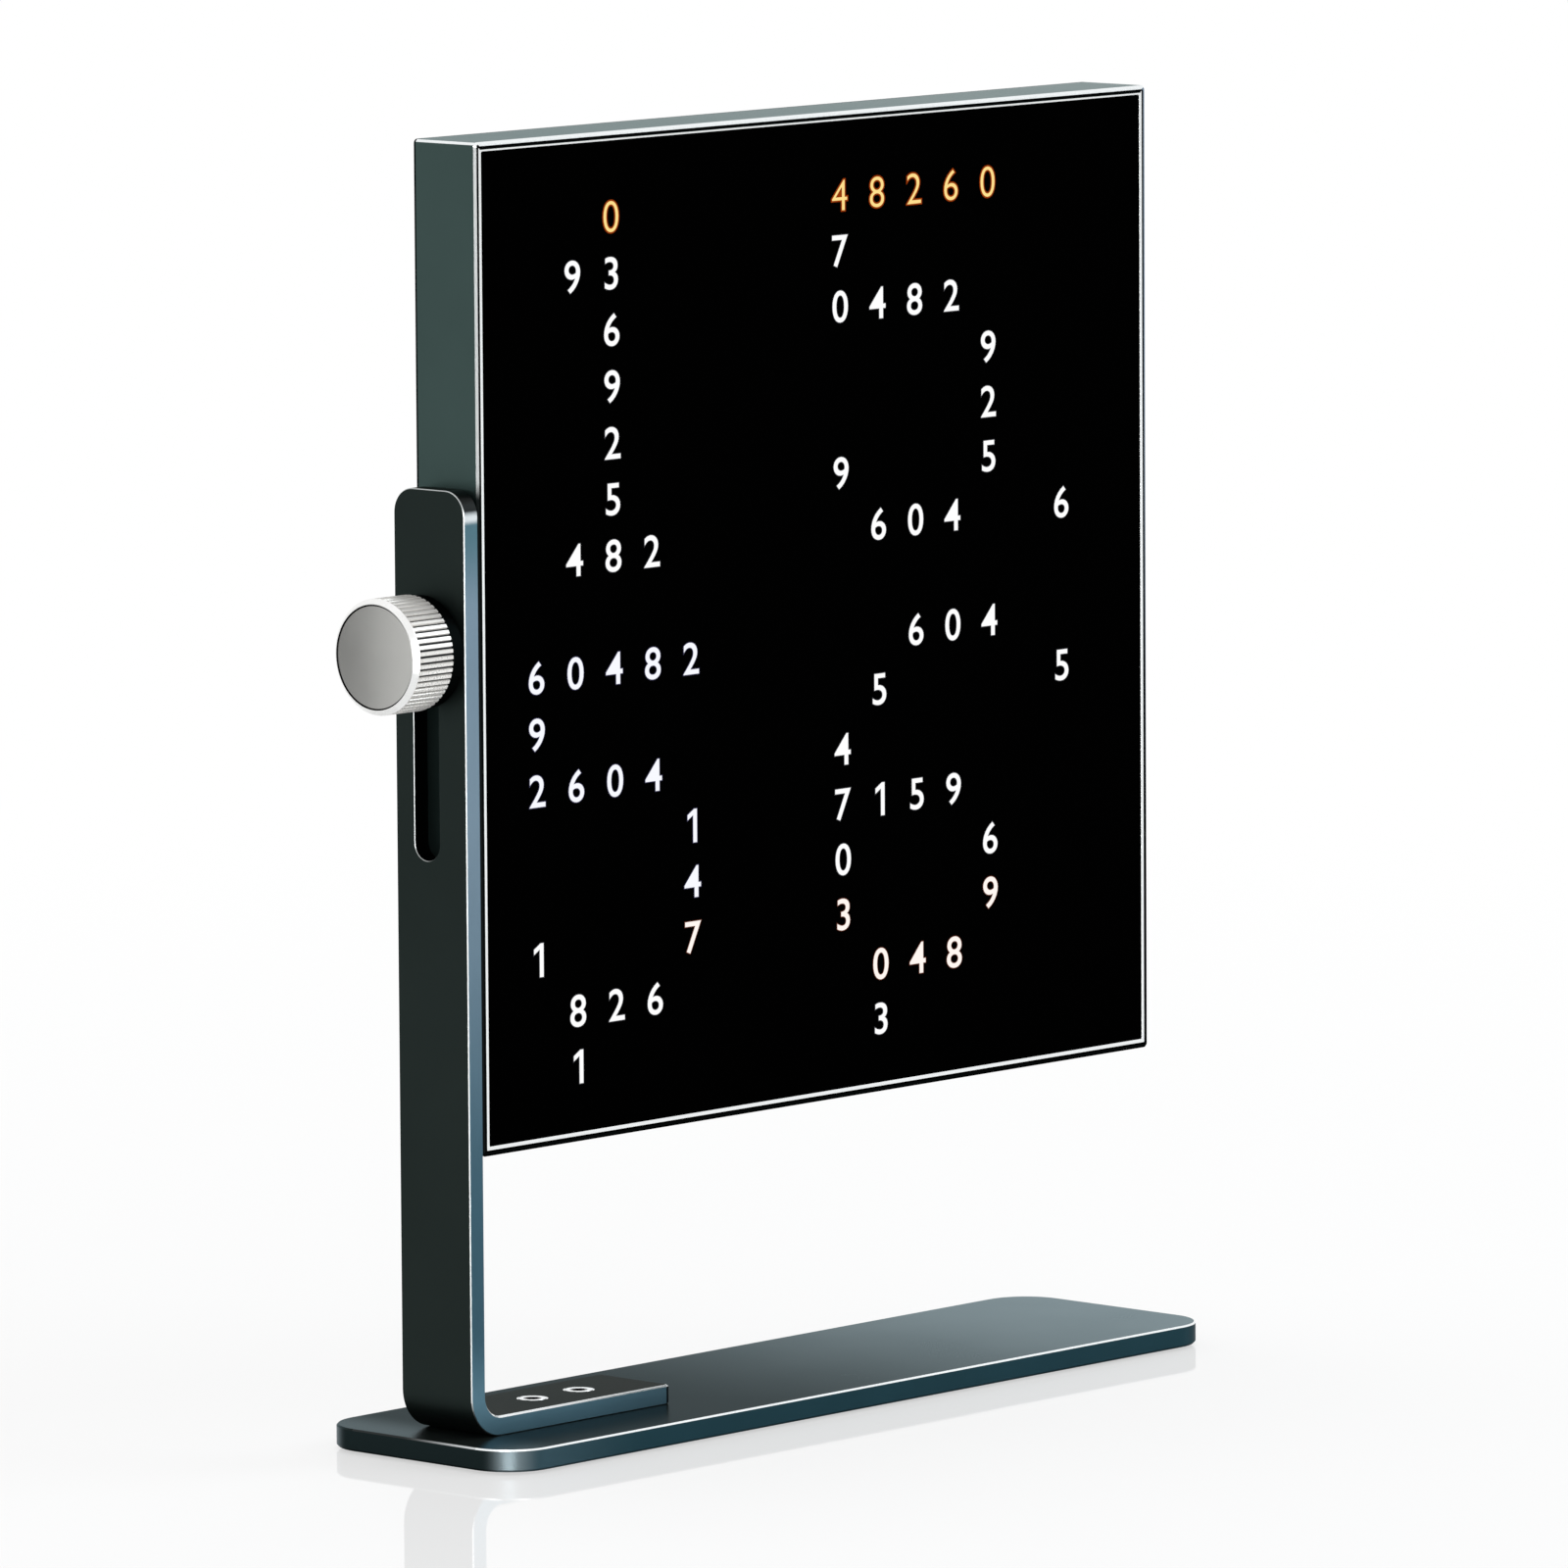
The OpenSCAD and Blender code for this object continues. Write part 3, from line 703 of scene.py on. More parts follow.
class Shell:
    """Collects the faces of one piece and turns them into a mesh object."""

    def __init__(self) -> None:
        """Starts an empty shell."""
        self.mesh = bmesh.new()

    def ring(self, places: Iterable[Vector]) -> Ring:
        """Adds the corners of one ring."""
        return [self.mesh.verts.new(place) for place in places]

    def band(self, first: Ring, second: Ring, skin_at: Callable[[int], int] = plain_skin) -> None:
        """Joins two rings of as many corners with faces.

        Args:
            first: The one ring.
            second: The other ring.
            skin_at: Gives the skin of each face by its number.
        """
        count = len(first)
        for index in range(count):
            after = (index + 1) % count
            face = self.mesh.faces.new((first[index], first[after], second[after], second[index]))
            face.material_index = skin_at(index)

    def face(self, ring: Ring, holes: Sequence[Ring] = (), skin: int = 0) -> None:
        """Closes a flat ring.

        Args:
            ring: The ring.
            holes: Rings inside it that stay open.
            skin: The skin of the new faces.
        """
        if not holes:
            self.mesh.faces.new(ring).material_index = skin
            return
        edges = []
        for loop in (ring, *holes):
            for index, corner in enumerate(loop):
                pair = (corner, loop[(index + 1) % len(loop)])
                edges.append(self.mesh.edges.get(pair) or self.mesh.edges.new(pair))
        filled = bmesh.ops.triangle_fill(self.mesh, edges=edges, use_beauty=True)
        for part in filled["geom"]:
            if isinstance(part, bmesh.types.BMFace):
                part.material_index = skin

    def stack(
        self,
        layers: Sequence[Layer],
        facing: Facing,
        middle: Point,
        first: int | None = 0,
        last: int | None = 0,
        looped: bool = False,
    ) -> list[Ring]:
        """Joins a stack of outlines.

        Args:
            layers: The outlines in order, all with as many corners.
            facing: The plane that they lie in.
            middle: Their middle in that plane.
            first: The skin that closes the first outline, or None to leave it open.
            last: The skin that closes the last outline, or None to leave it open.
            looped: Whether the last outline joins the first again, with the first layer's skin.

        Returns:
            The rings of corners in order.
        """
        rings = [self.ring(facing.lay(layer.outline.points(), middle, layer.level)) for layer in layers]
        for index in range(1, len(rings)):
            self.band(rings[index - 1], rings[index], layers[index].skin_at)
        if looped:
            self.band(rings[-1], rings[0], layers[0].skin_at)
            return rings
        if first is not None:
            self.face(rings[0], skin=first)
        if last is not None:
            self.face(rings[-1], skin=last)
        return rings

    def piece(self, name: str, finishes: Sequence[Finish], crease: float = CREASE) -> bpy.types.Object:
        """Turns the shell into an object.

        Args:
            name: The object's name.
            finishes: The finish of each skin.
            crease: The angle in degrees above which an edge is shaded sharp.

        Returns:
            The object, at the origin.
        """
        bmesh.ops.remove_doubles(self.mesh, verts=self.mesh.verts[:], dist=SAME_PLACE)
        bmesh.ops.recalc_face_normals(self.mesh, faces=self.mesh.faces[:])
        data = bpy.data.meshes.new(name)
        self.mesh.to_mesh(data)
        self.mesh.free()
        return mesh_piece(name, data, finishes, crease)


def mesh_piece(
    name: str, data: bpy.types.Mesh, finishes: Sequence[Finish] = (), crease: float = CREASE
) -> bpy.types.Object:
    """Makes an object of a mesh, shaded smooth.

    Args:
        name: The object's name.
        data: The mesh.
        finishes: The finish of each skin, or none where the mesh has its materials.
        crease: The angle in degrees above which an edge is shaded sharp.

    Returns:
        The object, at the origin.
    """
    for finish in finishes:
        data.materials.append(finish.material())
    data.polygons.foreach_set("use_smooth", [True] * len(data.polygons))
    data.set_sharp_from_angle(angle=math.radians(crease))
    made = bpy.data.objects.new(name, data)
    bpy.context.scene.collection.objects.link(made)
    return made


def plain_mesh(host: bpy.types.Object) -> bpy.types.Mesh:
    """Gives an object's mesh with its modifiers applied."""
    depsgraph = bpy.context.evaluated_depsgraph_get()
    return bpy.data.meshes.new_from_object(host.evaluated_get(depsgraph), depsgraph=depsgraph)


def cut_out(body: bpy.types.Object, cutter: bpy.types.Object) -> None:
    """Cuts one object's solid out of another.

    Args:
        body: The object that is cut.
        cutter: The solid to cut out of it; it is removed.
    """
    modifier = body.modifiers.new("cut", "BOOLEAN")
    modifier.operation = "DIFFERENCE"
    modifier.solver = "EXACT"
    modifier.object = cutter
    data = plain_mesh(body)
    body.modifiers.clear()
    body.data = data
    data.set_sharp_from_angle(angle=math.radians(CREASE))
    bpy.data.objects.remove(cutter)


class Pattern(Enum):
    """The points that a repeat follows, by the node that makes them."""

    RING = "GeometryNodeMeshCircle"
    GRID = "GeometryNodeMeshGrid"


@dataclass
class Repeat:
    """Copies of one small piece on a ring or a grid, made with Geometry Nodes."""

    name: str
    pattern: Pattern
    sizes: Mapping[str, float | int]

    def tree(self) -> bpy.types.NodeTree:
        """Builds the node tree, with the pattern's sizes, the piece and its finish as named inputs.

        Returns:
            The node tree.
        """
        group = bpy.data.node_groups.new(self.name, "GeometryNodeTree")
        group.interface.new_socket("Geometry", in_out="OUTPUT", socket_type="NodeSocketGeometry")
        for key, size in self.sizes.items():
            kind = "NodeSocketInt" if isinstance(size, int) else "NodeSocketFloat"
            group.interface.new_socket(key, in_out="INPUT", socket_type=kind)
        group.interface.new_socket("Piece", in_out="INPUT", socket_type="NodeSocketObject")
        group.interface.new_socket("Finish", in_out="INPUT", socket_type="NodeSocketMaterial")
        nodes, links = group.nodes, group.links
        given = nodes.new("NodeGroupInput").outputs
        points = nodes.new(self.pattern.value)
        for key in self.sizes:
            links.new(given[key], points.inputs[key])
        piece = nodes.new("GeometryNodeObjectInfo")
        links.new(given["Piece"], piece.inputs["Object"])
        copies = nodes.new("GeometryNodeInstanceOnPoints")
        links.new(points.outputs["Mesh"], copies.inputs["Points"])
        links.new(piece.outputs["Geometry"], copies.inputs["Instance"])
        if self.pattern is Pattern.RING:
            turn = nodes.new("ShaderNodeMath")
            turn.operation = "MULTIPLY"
            turn.inputs[1].default_value = 2 * math.pi / self.sizes["Vertices"]
            links.new(nodes.new("GeometryNodeInputIndex").outputs[0], turn.inputs[0])
            axis = nodes.new("ShaderNodeCombineXYZ")
            links.new(turn.outputs[0], axis.inputs["Z"])
            rotation = nodes.new("FunctionNodeEulerToRotation")
            links.new(axis.outputs[0], rotation.inputs[0])
            links.new(rotation.outputs[0], copies.inputs["Rotation"])
        real = nodes.new("GeometryNodeRealizeInstances")
        links.new(copies.outputs[0], real.inputs[0])
        coated = nodes.new("GeometryNodeSetMaterial")
        links.new(real.outputs[0], coated.inputs["Geometry"])
        links.new(given["Finish"], coated.inputs["Material"])
        links.new(coated.outputs[0], nodes.new("NodeGroupOutput").inputs[0])
        return group

    def build(self, piece: bpy.types.Object, finish: Finish, place: Matrix) -> bpy.types.Object:
        """Repeats a piece.

        Args:
            piece: The piece to copy, about the origin; it is removed.
            finish: The finish of all copies.
            place: Where the pattern's own middle and axes go.

        Returns:
            One object with all the copies.
        """
        host = bpy.data.objects.new(self.name, bpy.data.meshes.new(self.name))
        bpy.context.scene.collection.objects.link(host)
        modifier = host.modifiers.new("repeat", "NODES")
        modifier.node_group = self.tree()
        inputs = {**self.sizes, "Piece": piece, "Finish": finish.material()}
        for item in modifier.node_group.interface.items_tree:
            if item.in_out == "INPUT":
                modifier[item.identifier] = inputs[item.name]
        data = plain_mesh(host)
        bpy.data.objects.remove(host)
        bpy.data.objects.remove(piece)
        data.transform(place)
        return mesh_piece(self.name, data)


# Finishes of this clock

PIVOT = Vector(next(joint for joint in frame["joints"] if joint["name"] == "display_tilt")["pos_m"])

# Painted light: the fades make the plate's top reflect more towards its right end and again at its far left end,
# leaving it dull and dark in front of the bar's foot.
SLATE_PLATE = AnodisedMetal(
    "slate plate", (0.008, 0.011, 0.010), 0.26, metallic=0.20, relief=0.05, grazing=(0.78, 0.94, 1.0),
    fades=(
        Fade("X", -38 * MM, 102 * MM, (0.010, 0.016, 0.017), 0.95),
        Fade("X", -80 * MM, -92 * MM, (0.014, 0.018, 0.017), 0.45),
    ),
)
# Painted light on the plate's side: dark at the left end, a painted highlight on the front left corner, then a blue
# grey front as if lit from the front, darker along the middle and lighter again at the right end.
PLATE_SIDE = AnodisedMetal(
    "slate plate side", (0.012, 0.020, 0.021), 0.38, grazing=(0.5, 0.5, 0.5),
    fades=(
        Fade("X", -94.4 * MM, -92.7 * MM, (0.20, 0.25, 0.27)),
        Fade("X", -92.7 * MM, -87 * MM, (0.040, 0.080, 0.100)),
        Fade("X", -87.5 * MM, -57.5 * MM, (0.017, 0.048, 0.062)),
        Fade("X", 84 * MM, 93 * MM, (0.050, 0.085, 0.100)),
    ),
)
SLATE_BAR = AnodisedMetal("slate bar", (0.021, 0.029, 0.027), 0.46, grazing=(0.45, 0.45, 0.45))
SLATE_FRAME = AnodisedMetal("slate frame", (0.050, 0.081, 0.076), 0.36, grazing=(0.82, 0.92, 0.94))
# Painted shade: near black put where shade falls, in gaps, slot and pocket walls, on edges turned from the light and on
# the knob's neck.
PAINTED_SHADE = AnodisedMetal("black shadow line", (0.003, 0.004, 0.004), 0.50, grazing=(0.3, 0.3, 0.3))
# Painted light: the bar's front edge is a blue grey, lit copy of the slate bar whose tone rises and falls with height,
# with a painted highlight just below the crown and painted black shade over it.
BAR_EDGE = AnodisedMetal(
    "blue grey bar edge", (0.120, 0.240, 0.310), 0.34,
    fades=(
        Fade("Z", 6 * MM, 24 * MM, (0.044, 0.104, 0.142)),
        Fade("Z", 40 * MM, 120 * MM, (0.185, 0.265, 0.335)),
        Fade("Z", 150 * MM, 165 * MM, (0.080, 0.165, 0.205)),
        Fade("Z", 165.9 * MM, 167.1 * MM, (0.66, 0.70, 0.72)),
        Fade("Z", 167.3 * MM, 168.6 * MM, (0.006, 0.007, 0.007)),
    ),
)
CUT_EDGE = CutMetal("bright cut edge", (0.86, 0.89, 0.90), 0.22)
# A dimmer copy of the bright cut edge, used as painted shade on cut edges that are to look less lit.
SOFT_EDGE = CutMetal("soft cut edge", (0.42, 0.44, 0.44), 0.30)
# Painted shade on the right of the frame's lip, lightening to blue grey towards the top.
SHADED_LIP = AnodisedMetal(
    "shaded lip", (0.003, 0.004, 0.004), 0.50, grazing=(0.4, 0.4, 0.4),
    fades=(Fade("Z", 90 * MM, 190 * MM, (0.20, 0.25, 0.31)),),
)
# Painted shade on the frame's left chamfer beside the bar, with a painted highlight above the bar's top.
SHADED_EDGE = CutMetal(
    "shaded cut edge", (0.004, 0.005, 0.005), 0.40, (Fade("Z", 170 * MM, 174 * MM, (0.27, 0.28, 0.28)),)
)
# Painted highlight on the plate's left cut edge: bright at the front, fading to dark towards the back.
FADING_HIGHLIGHT_EDGE = CutMetal(
    "faded cut edge", (0.62, 0.64, 0.65), 0.25, (Fade("Y", -17 * MM, 3 * MM, (0.020, 0.024, 0.024)),)
)
BLACKENED = CutMetal("blackened steel", (0.012, 0.013, 0.013), 0.34)
TRIM = CutMetal("polished trim", (0.88, 0.90, 0.90), 0.16)
KNOB_SIDE = AnodisedMetal("turned knob", (0.82, 0.80, 0.77), 0.28, metallic=0.45, relief=0.10)
KNOB_BEVEL = CutMetal("bright knob bevel", (0.90, 0.90, 0.89), 0.20)
# Painted shade: near black on the floor between the ridges and in the seam round the knob's face.
KNOB_GROOVE = CutMetal("dark knob groove", (0.016, 0.016, 0.018), 0.45)
KNOB_FACE = SpunMetal("spun knob face", (0.38, 0.38, 0.365), 0.34, middle=tuple(PIVOT), sheen=0.85)
STEEL = CutMetal("screw steel", (0.56, 0.57, 0.58), 0.26)
CAN_STEEL = CutMetal("drawn steel", (0.66, 0.68, 0.68), 0.30)
BRASS = CutMetal("machined brass", (0.60, 0.42, 0.16), 0.30)
GLASS = BlackGlass("black glass", (0.0002, 0.0002, 0.0002), 0.10)
PAD = Moulding("pad rubber", (0.012, 0.013, 0.013), 0.85, grain=0.8 * MM, depth=0.08 * MM)
FIBRE = Moulding("friction fibre", (0.020, 0.020, 0.020), 0.80, grain=0.6 * MM)
NYLON = Moulding("natural nylon", (0.74, 0.72, 0.65), 0.42)
COVER = Moulding("moulded cover", (0.027, 0.034, 0.033), 0.55, grain=0.55 * MM, depth=0.05 * MM)
BUTTON = Moulding("button plastic", (0.043, 0.052, 0.050), 0.45)
PLUNGER = Moulding("plunger plastic", (0.68, 0.63, 0.52), 0.50)
MARK = Moulding("button mark", (0.62, 0.66, 0.66), 0.50)
FILM = Moulding("printed film", (0.002, 0.002, 0.002), 0.60)
DIFFUSER = Moulding("diffuser white", (0.80, 0.80, 0.77), 0.60)
BAFFLE = Moulding("baffle black", (0.005, 0.005, 0.005), 0.70)
PACKAGE = Moulding("light package", (0.89, 0.86, 0.76), 0.45)
CHIP = Moulding("chip black", (0.010, 0.010, 0.011), 0.60)
SWITCH = Moulding("switch black", (0.018, 0.019, 0.019), 0.50)
BOARD = BoardMask("board green", (0.009, 0.064, 0.030), 0.38)
NUMERAL = NumeralLight("numeral light", (0.0, 0.0, 0.0), 0.6)
# A painted halo of glow round the numerals.
FRINGE = NumeralLight("numeral fringe", (0.0, 0.0, 0.0), 0.6)


# Pieces that several sub-assemblies use


def dress(finish: Finish, *nodes: str) -> None:
    """Gives CAD nodes that stay as they are a finish.

    Args:
        finish: The finish.
        *nodes: The nodes' names.
    """
    for node in nodes:
        data = frame["nodes"][node].data
        data.materials.clear()
        data.materials.append(finish.material())
        LOG.info("%s: kept, finish %s", node, finish.name)


def stand_for(piece: bpy.types.Object, body: str, slot: str, *nodes: str) -> bpy.types.Object:
    """Puts a piece on a body.

    Args:
        piece: The piece.
        body: The name of the body that it rides on.
        slot: The name of its material slot; not used.
        *nodes: The CAD nodes that it stands for, none for a piece that is added.

    Returns:
        The piece.
    """
    if nodes:
        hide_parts(*nodes)
    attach(piece, body)
    LOG.info("%s: %d faces on %s", piece.name, len(piece.data.polygons), body)
    return piece


def middle_of(node: str) -> Vector:
    """Gives the middle of a CAD node's box."""
    low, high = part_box(node)
    return (low + high) / 2


def round_points(radius: float, count: int) -> list[Point]:
    """Gives points evenly round a circle, from the first axis on."""
    angles = [2 * math.pi * k / count for k in range(count)]
    return [(radius * math.cos(angle), radius * math.sin(angle)) for angle in angles]


@dataclass(frozen=True)
class ScrewHead:
    """A countersunk screw head with a hex socket, facing up from the origin; the shares are of its radius."""

    radius: float
    sink: float
    socket: float
    depth: float
    sides: int = 24
    shank_share: float = 0.55
    shank_end: float = 0.3
    cone_end: float = 0.05
    rim_start: float = 0.10
    rim_end: float = 0.04
    top_share: float = 0.96

    def hexagon(self) -> list[Point]:
        """Gives the socket's outline.

        Returns:
            As many points as the head has sides, on the flats of a hexagon.
        """
        flat = self.sides // 6
        found = []
        for index, (across, along) in enumerate(round_points(self.socket, self.sides)):
            off = (index % flat) * 2 * math.pi / self.sides - math.pi / 6
            reach = math.cos(math.pi / 6) / math.cos(off)
            found.append((across * reach, along * reach))
        return found

    def template(self) -> bpy.types.Object:
        """Makes the screw for a Repeat.

        Returns:
            The screw.
        """
        full = self.radius
        rounds = (
            (self.shank_share * full, -self.sink - self.shank_end * full),
            (self.shank_share * full, -self.sink + self.cone_end * full),
            (full, -self.rim_start * full),
            (full, -self.rim_end * full),
            (self.top_share * full, 0.0),
        )
        outlines = [(round_points(radius, self.sides), level) for radius, level in rounds]
        outlines += [(self.hexagon(), 0.0), (self.hexagon(), -self.depth)]
        shell = Shell()
        rings = [shell.ring(Facing.UP.lay(outline, (0, 0), level)) for outline, level in outlines]
        for first, second in zip(rings, rings[1:]):
            shell.band(first, second)
        shell.face(rings[0])
        shell.face(rings[-1])
        return shell.piece("screw_template", [STEEL])


# Stand


class PlateSkin(IntEnum):
    """Skins of the base plate, in the order of its finishes."""

    TOP = 0
    CUT = 1
    SIDE = 2
    FADED = 3


class BarSkin(IntEnum):
    """Skins of the bent bar, in the order of its finishes."""

    FACE = 0
    SOFT = 1
    EDGE = 2
    BRIGHT = 3
    SHADOW = 4


# The number of the point in the bar's outline at which the foot ends and the bend starts
BEND_START = 2


@dataclass
class Stand:
    """Base plate on its pad, with the bent bar screwed to it."""

    base_corner: float = 9 * MM
    base_cut: float = 0.3 * MM
    under_cut: float = 0.4 * MM
    pad_corner: float = 3 * MM
    pad_gap: float = 0.1 * MM
    pad_soft: float = 0.25 * MM
    bend_inside: float = 4 * MM
    crown: float = 4.5 * MM
    bar_cut: float = 0.16 * MM
    foot_cut: float = 0.34 * MM
    foot_end_run: float = 0.8 * MM
    foot_end_cut: float = 0.3 * MM
    hole_rim: float = 0.28 * MM
    slot_cut: float = 0.10 * MM
    slot_gap: float = 0.1 * MM
    screw_gap: float = 0.04 * MM
    screw_sink: float = 1.2 * MM
    screw_rise: float = 0.10 * MM
    screw_socket_share: float = 0.52
    screw_socket_depth: float = 0.9 * MM
    shank_share: float = 0.57
    rim_section: tuple[Point, ...] = (
        (0.98, -0.2), (0.97, 0.24), (0.90, 0.8), (0.80, 1.0), (0.70, 0.72), (0.64, 0.0), (0.64, -0.2)
    )
    rim_steps: int = 6
    plate_steps: int = 16
    pad_steps: int = 12
    slot_steps: int = 14
    bend_steps: int = 16
    crown_steps: int = 12

    def build(self) -> None:
        """Builds and dresses every piece of the stand."""
        self.base_plate()
        self.pad()
        self.bent_bar()
        self.foot_screws()

    def base_plate(self) -> None:
        """Builds the plate with its cut top edge and the recess for the pad."""
        low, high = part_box("base_plate")
        pad_low, pad_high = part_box("anti_slip_pad")
        size, pad = high - low, pad_high - pad_low
        edge = Outline(size.x, size.y, self.base_corner, self.plate_steps)
        recess = Outline(pad.x, pad.y, self.pad_corner, self.plate_steps).grown(self.pad_gap)
        # Painted highlight: the cut edge loses its bright line at the back left corner and fades from bright to dark
        # along the left end.
        painted_highlight_runs = {Run.UPPER_LEFT: PlateSkin.TOP, Run.LEFT: PlateSkin.FADED}
        shell = Shell()
        shell.stack(
            [
                Layer(edge.grown(-self.base_cut), high.z),
                Layer(edge, high.z - self.base_cut, PlateSkin.CUT, run_skins=painted_highlight_runs),
                Layer(edge, low.z + self.under_cut, PlateSkin.SIDE),
                Layer(edge.grown(-self.under_cut), low.z, PlateSkin.SIDE),
                Layer(recess, low.z, PlateSkin.SIDE),
                Layer(recess, pad_high.z, PlateSkin.SIDE),
            ],
            Facing.UP,
            middle_of("base_plate").xy[:],
        )
        piece = shell.piece("plate", [SLATE_PLATE, CUT_EDGE, PLATE_SIDE, FADING_HIGHLIGHT_EDGE])
        stand_for(piece, "stand", "slate_plate", "base_plate")

    def pad(self) -> None:
        """Builds the pad with soft lower edges."""
        low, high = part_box("anti_slip_pad")
        size = high - low
        edge = Outline(size.x, size.y, self.pad_corner, self.pad_steps)
        shell = Shell()
        shell.stack(
            [
                Layer(edge, high.z),
                Layer(edge, low.z + self.pad_soft),
                Layer(edge.grown(-self.pad_soft), low.z),
            ],
            Facing.UP,
            middle_of("anti_slip_pad").xy[:],
        )
        stand_for(shell.piece("pad", [PAD]), "stand", "pad_rubber", "anti_slip_pad")

    def bar_outline(self, inset: float) -> list[Point]:
        """Gives the flat bar's outline as distance along the bar and across it.

        Args:
            inset: How far the outline lies inside the bar's edge.

        Returns:
            Points from the foot's end up the front edge, over the crown and down the back edge.
        """
        low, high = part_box("upright_bracket")
        foot, bend, total = self.bar_lengths()
        front = [
            (inset, low.y + inset + self.foot_end_cut),
            (inset + self.foot_end_run, low.y + inset),
            (foot, low.y + inset),
        ]
        front += [(foot + bend * k / self.bend_steps, low.y + inset) for k in range(1, self.bend_steps + 1)]
        for step in range(self.crown_steps + 1):
            angle = step / self.crown_steps * math.pi / 2
            reach = self.crown - inset
            along = total - self.crown + reach * math.sin(angle)
            front.append((along, low.y + self.crown - reach * math.cos(angle)))
        back = [(along, low.y + high.y - across) for along, across in reversed(front)]
        return front + back

    def bar_lengths(self) -> tuple[float, float, float]:
        """Measures the bar along its outside.

        Returns:
            The lengths of the foot's flat, of the bend and of the whole bar.
        """
        low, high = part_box("upright_bracket")
        outside = self.bend_inside + self.bar_thickness()
        foot = high.x - low.x - outside
        bend = outside * math.pi / 2
        return foot, bend, foot + bend + high.z - low.z - outside

    @staticmethod
    def bar_thickness() -> float:
        """Gives the bar's thickness, from its outside to the friction washer."""
        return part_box("friction_washer")[0].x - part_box("upright_bracket")[0].x

    def fold(self, points: Iterable[Point], depth: float) -> list[Vector]:
        """Bends points of the flat bar into its L shape.

        Args:
            points: Distance along the bar and across it.
            depth: Distance from the bar's outside.

        Returns:
            The points in space.
        """
        low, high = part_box("upright_bracket")
        outside = self.bend_inside + self.bar_thickness()
        foot, bend, _ = self.bar_lengths()
        centre_x, centre_z = low.x + outside, low.z + outside
        folded = []
        for along, across in points:
            if along <= foot:
                folded.append(Vector((high.x - along, across, low.z + depth)))
            elif along <= foot + bend:
                angle = (along - foot) / outside
                reach = outside - depth
                x, z = centre_x - reach * math.sin(angle), centre_z - reach * math.cos(angle)
                folded.append(Vector((x, across, z)))
            else:
                folded.append(Vector((low.x + depth, across, centre_z + along - foot - bend)))
        return folded

    def bent_bar(self) -> None:
        """Builds the bar: slotted upright, bend and drilled foot, with cut edges all round."""
        thick, cut = self.bar_thickness(), self.bar_cut
        edge, inside = self.bar_outline(0.0), self.bar_outline(cut)
        cuts = [self.upper_cut(along) for along, _ in edge]
        upper = [self.fold([point], thick - wide)[0] for point, wide in zip(edge, cuts)]
        shell = Shell()
        rings = [
            shell.ring(self.fold(inside, 0.0)),
            shell.ring(self.fold(edge, cut)),
            shell.ring(upper),
            shell.ring(self.fold(self.widened(edge, inside, cuts), thick)),
        ]
        for index, skin_at in enumerate((self.cut_skin, self.edge_skin, self.upper_skin)):
            shell.band(rings[index], rings[index + 1], skin_at)
        slot = self.slot_rings(shell)
        holes = self.screw_holes(shell)
        for ring, upright_hole, foot_holes in (
            (rings[0], slot[0], [hole[-1] for hole in holes]),
            (rings[-1], slot[-1], [hole[0] for hole in holes]),
        ):
            self.cover_side(shell, ring, upright_hole, foot_holes)
        piece = shell.piece("bent_bar", [SLATE_BAR, SOFT_EDGE, BAR_EDGE, CUT_EDGE, PAINTED_SHADE])
        stand_for(piece, "stand", "slate_bracket", "upright_bracket")

    def upper_cut(self, along: float) -> float:
        """Gives the width of the cut on the bar's inside, which is wide along the foot and narrows in the bend.

        Args:
            along: The distance along the bar.

        Returns:
            The width there.
        """
        foot, bend, _ = self.bar_lengths()
        past = min(max((along - foot) / bend, 0.0), 1.0)
        return self.foot_cut + (self.bar_cut - self.foot_cut) * past

    def widened(self, edge: Sequence[Point], inside: Sequence[Point], cuts: Sequence[float]) -> list[Point]:
        """Moves the points of an outline inwards.

        Args:
            edge: The outline at the bar's edge.
            inside: The outline one plain cut inside that edge.
            cuts: How far inside the edge each point goes.

        Returns:
            The moved points.
        """
        moved = []
        for (along, across), (along_in, across_in), wide in zip(edge, inside, cuts):
            share = wide / self.bar_cut
            moved.append((along + (along_in - along) * share, across + (across_in - across) * share))
        return moved

    @staticmethod
    def cut_skin(side: int) -> int:
        """Gives the skin of the cut corners on the bar's outside."""
        return BarSkin.SOFT

    def upper_skin(self, side: int) -> int:
        """Gives the skin of the cut corners on the bar's inside: a painted highlight along the foot and into the bend,
        else the dimmer soft cut.
        """
        return BarSkin.BRIGHT if side < self.bend_steps // 2 else BarSkin.SOFT

    def edge_skin(self, side: int) -> int:
        """Gives the skin of the bar's narrow sides: painted black shade at the foot's corner, the painted light of the
        blue grey edge in front, else plain.

        Args:
            side: The face's number, from the foot's end up the front edge.

        Returns:
            The number of its skin.
        """
        if side == 0:
            return BarSkin.SHADOW
        crown_end = BEND_START + self.bend_steps + self.crown_steps + 1
        return BarSkin.EDGE if side < crown_end else BarSkin.FACE

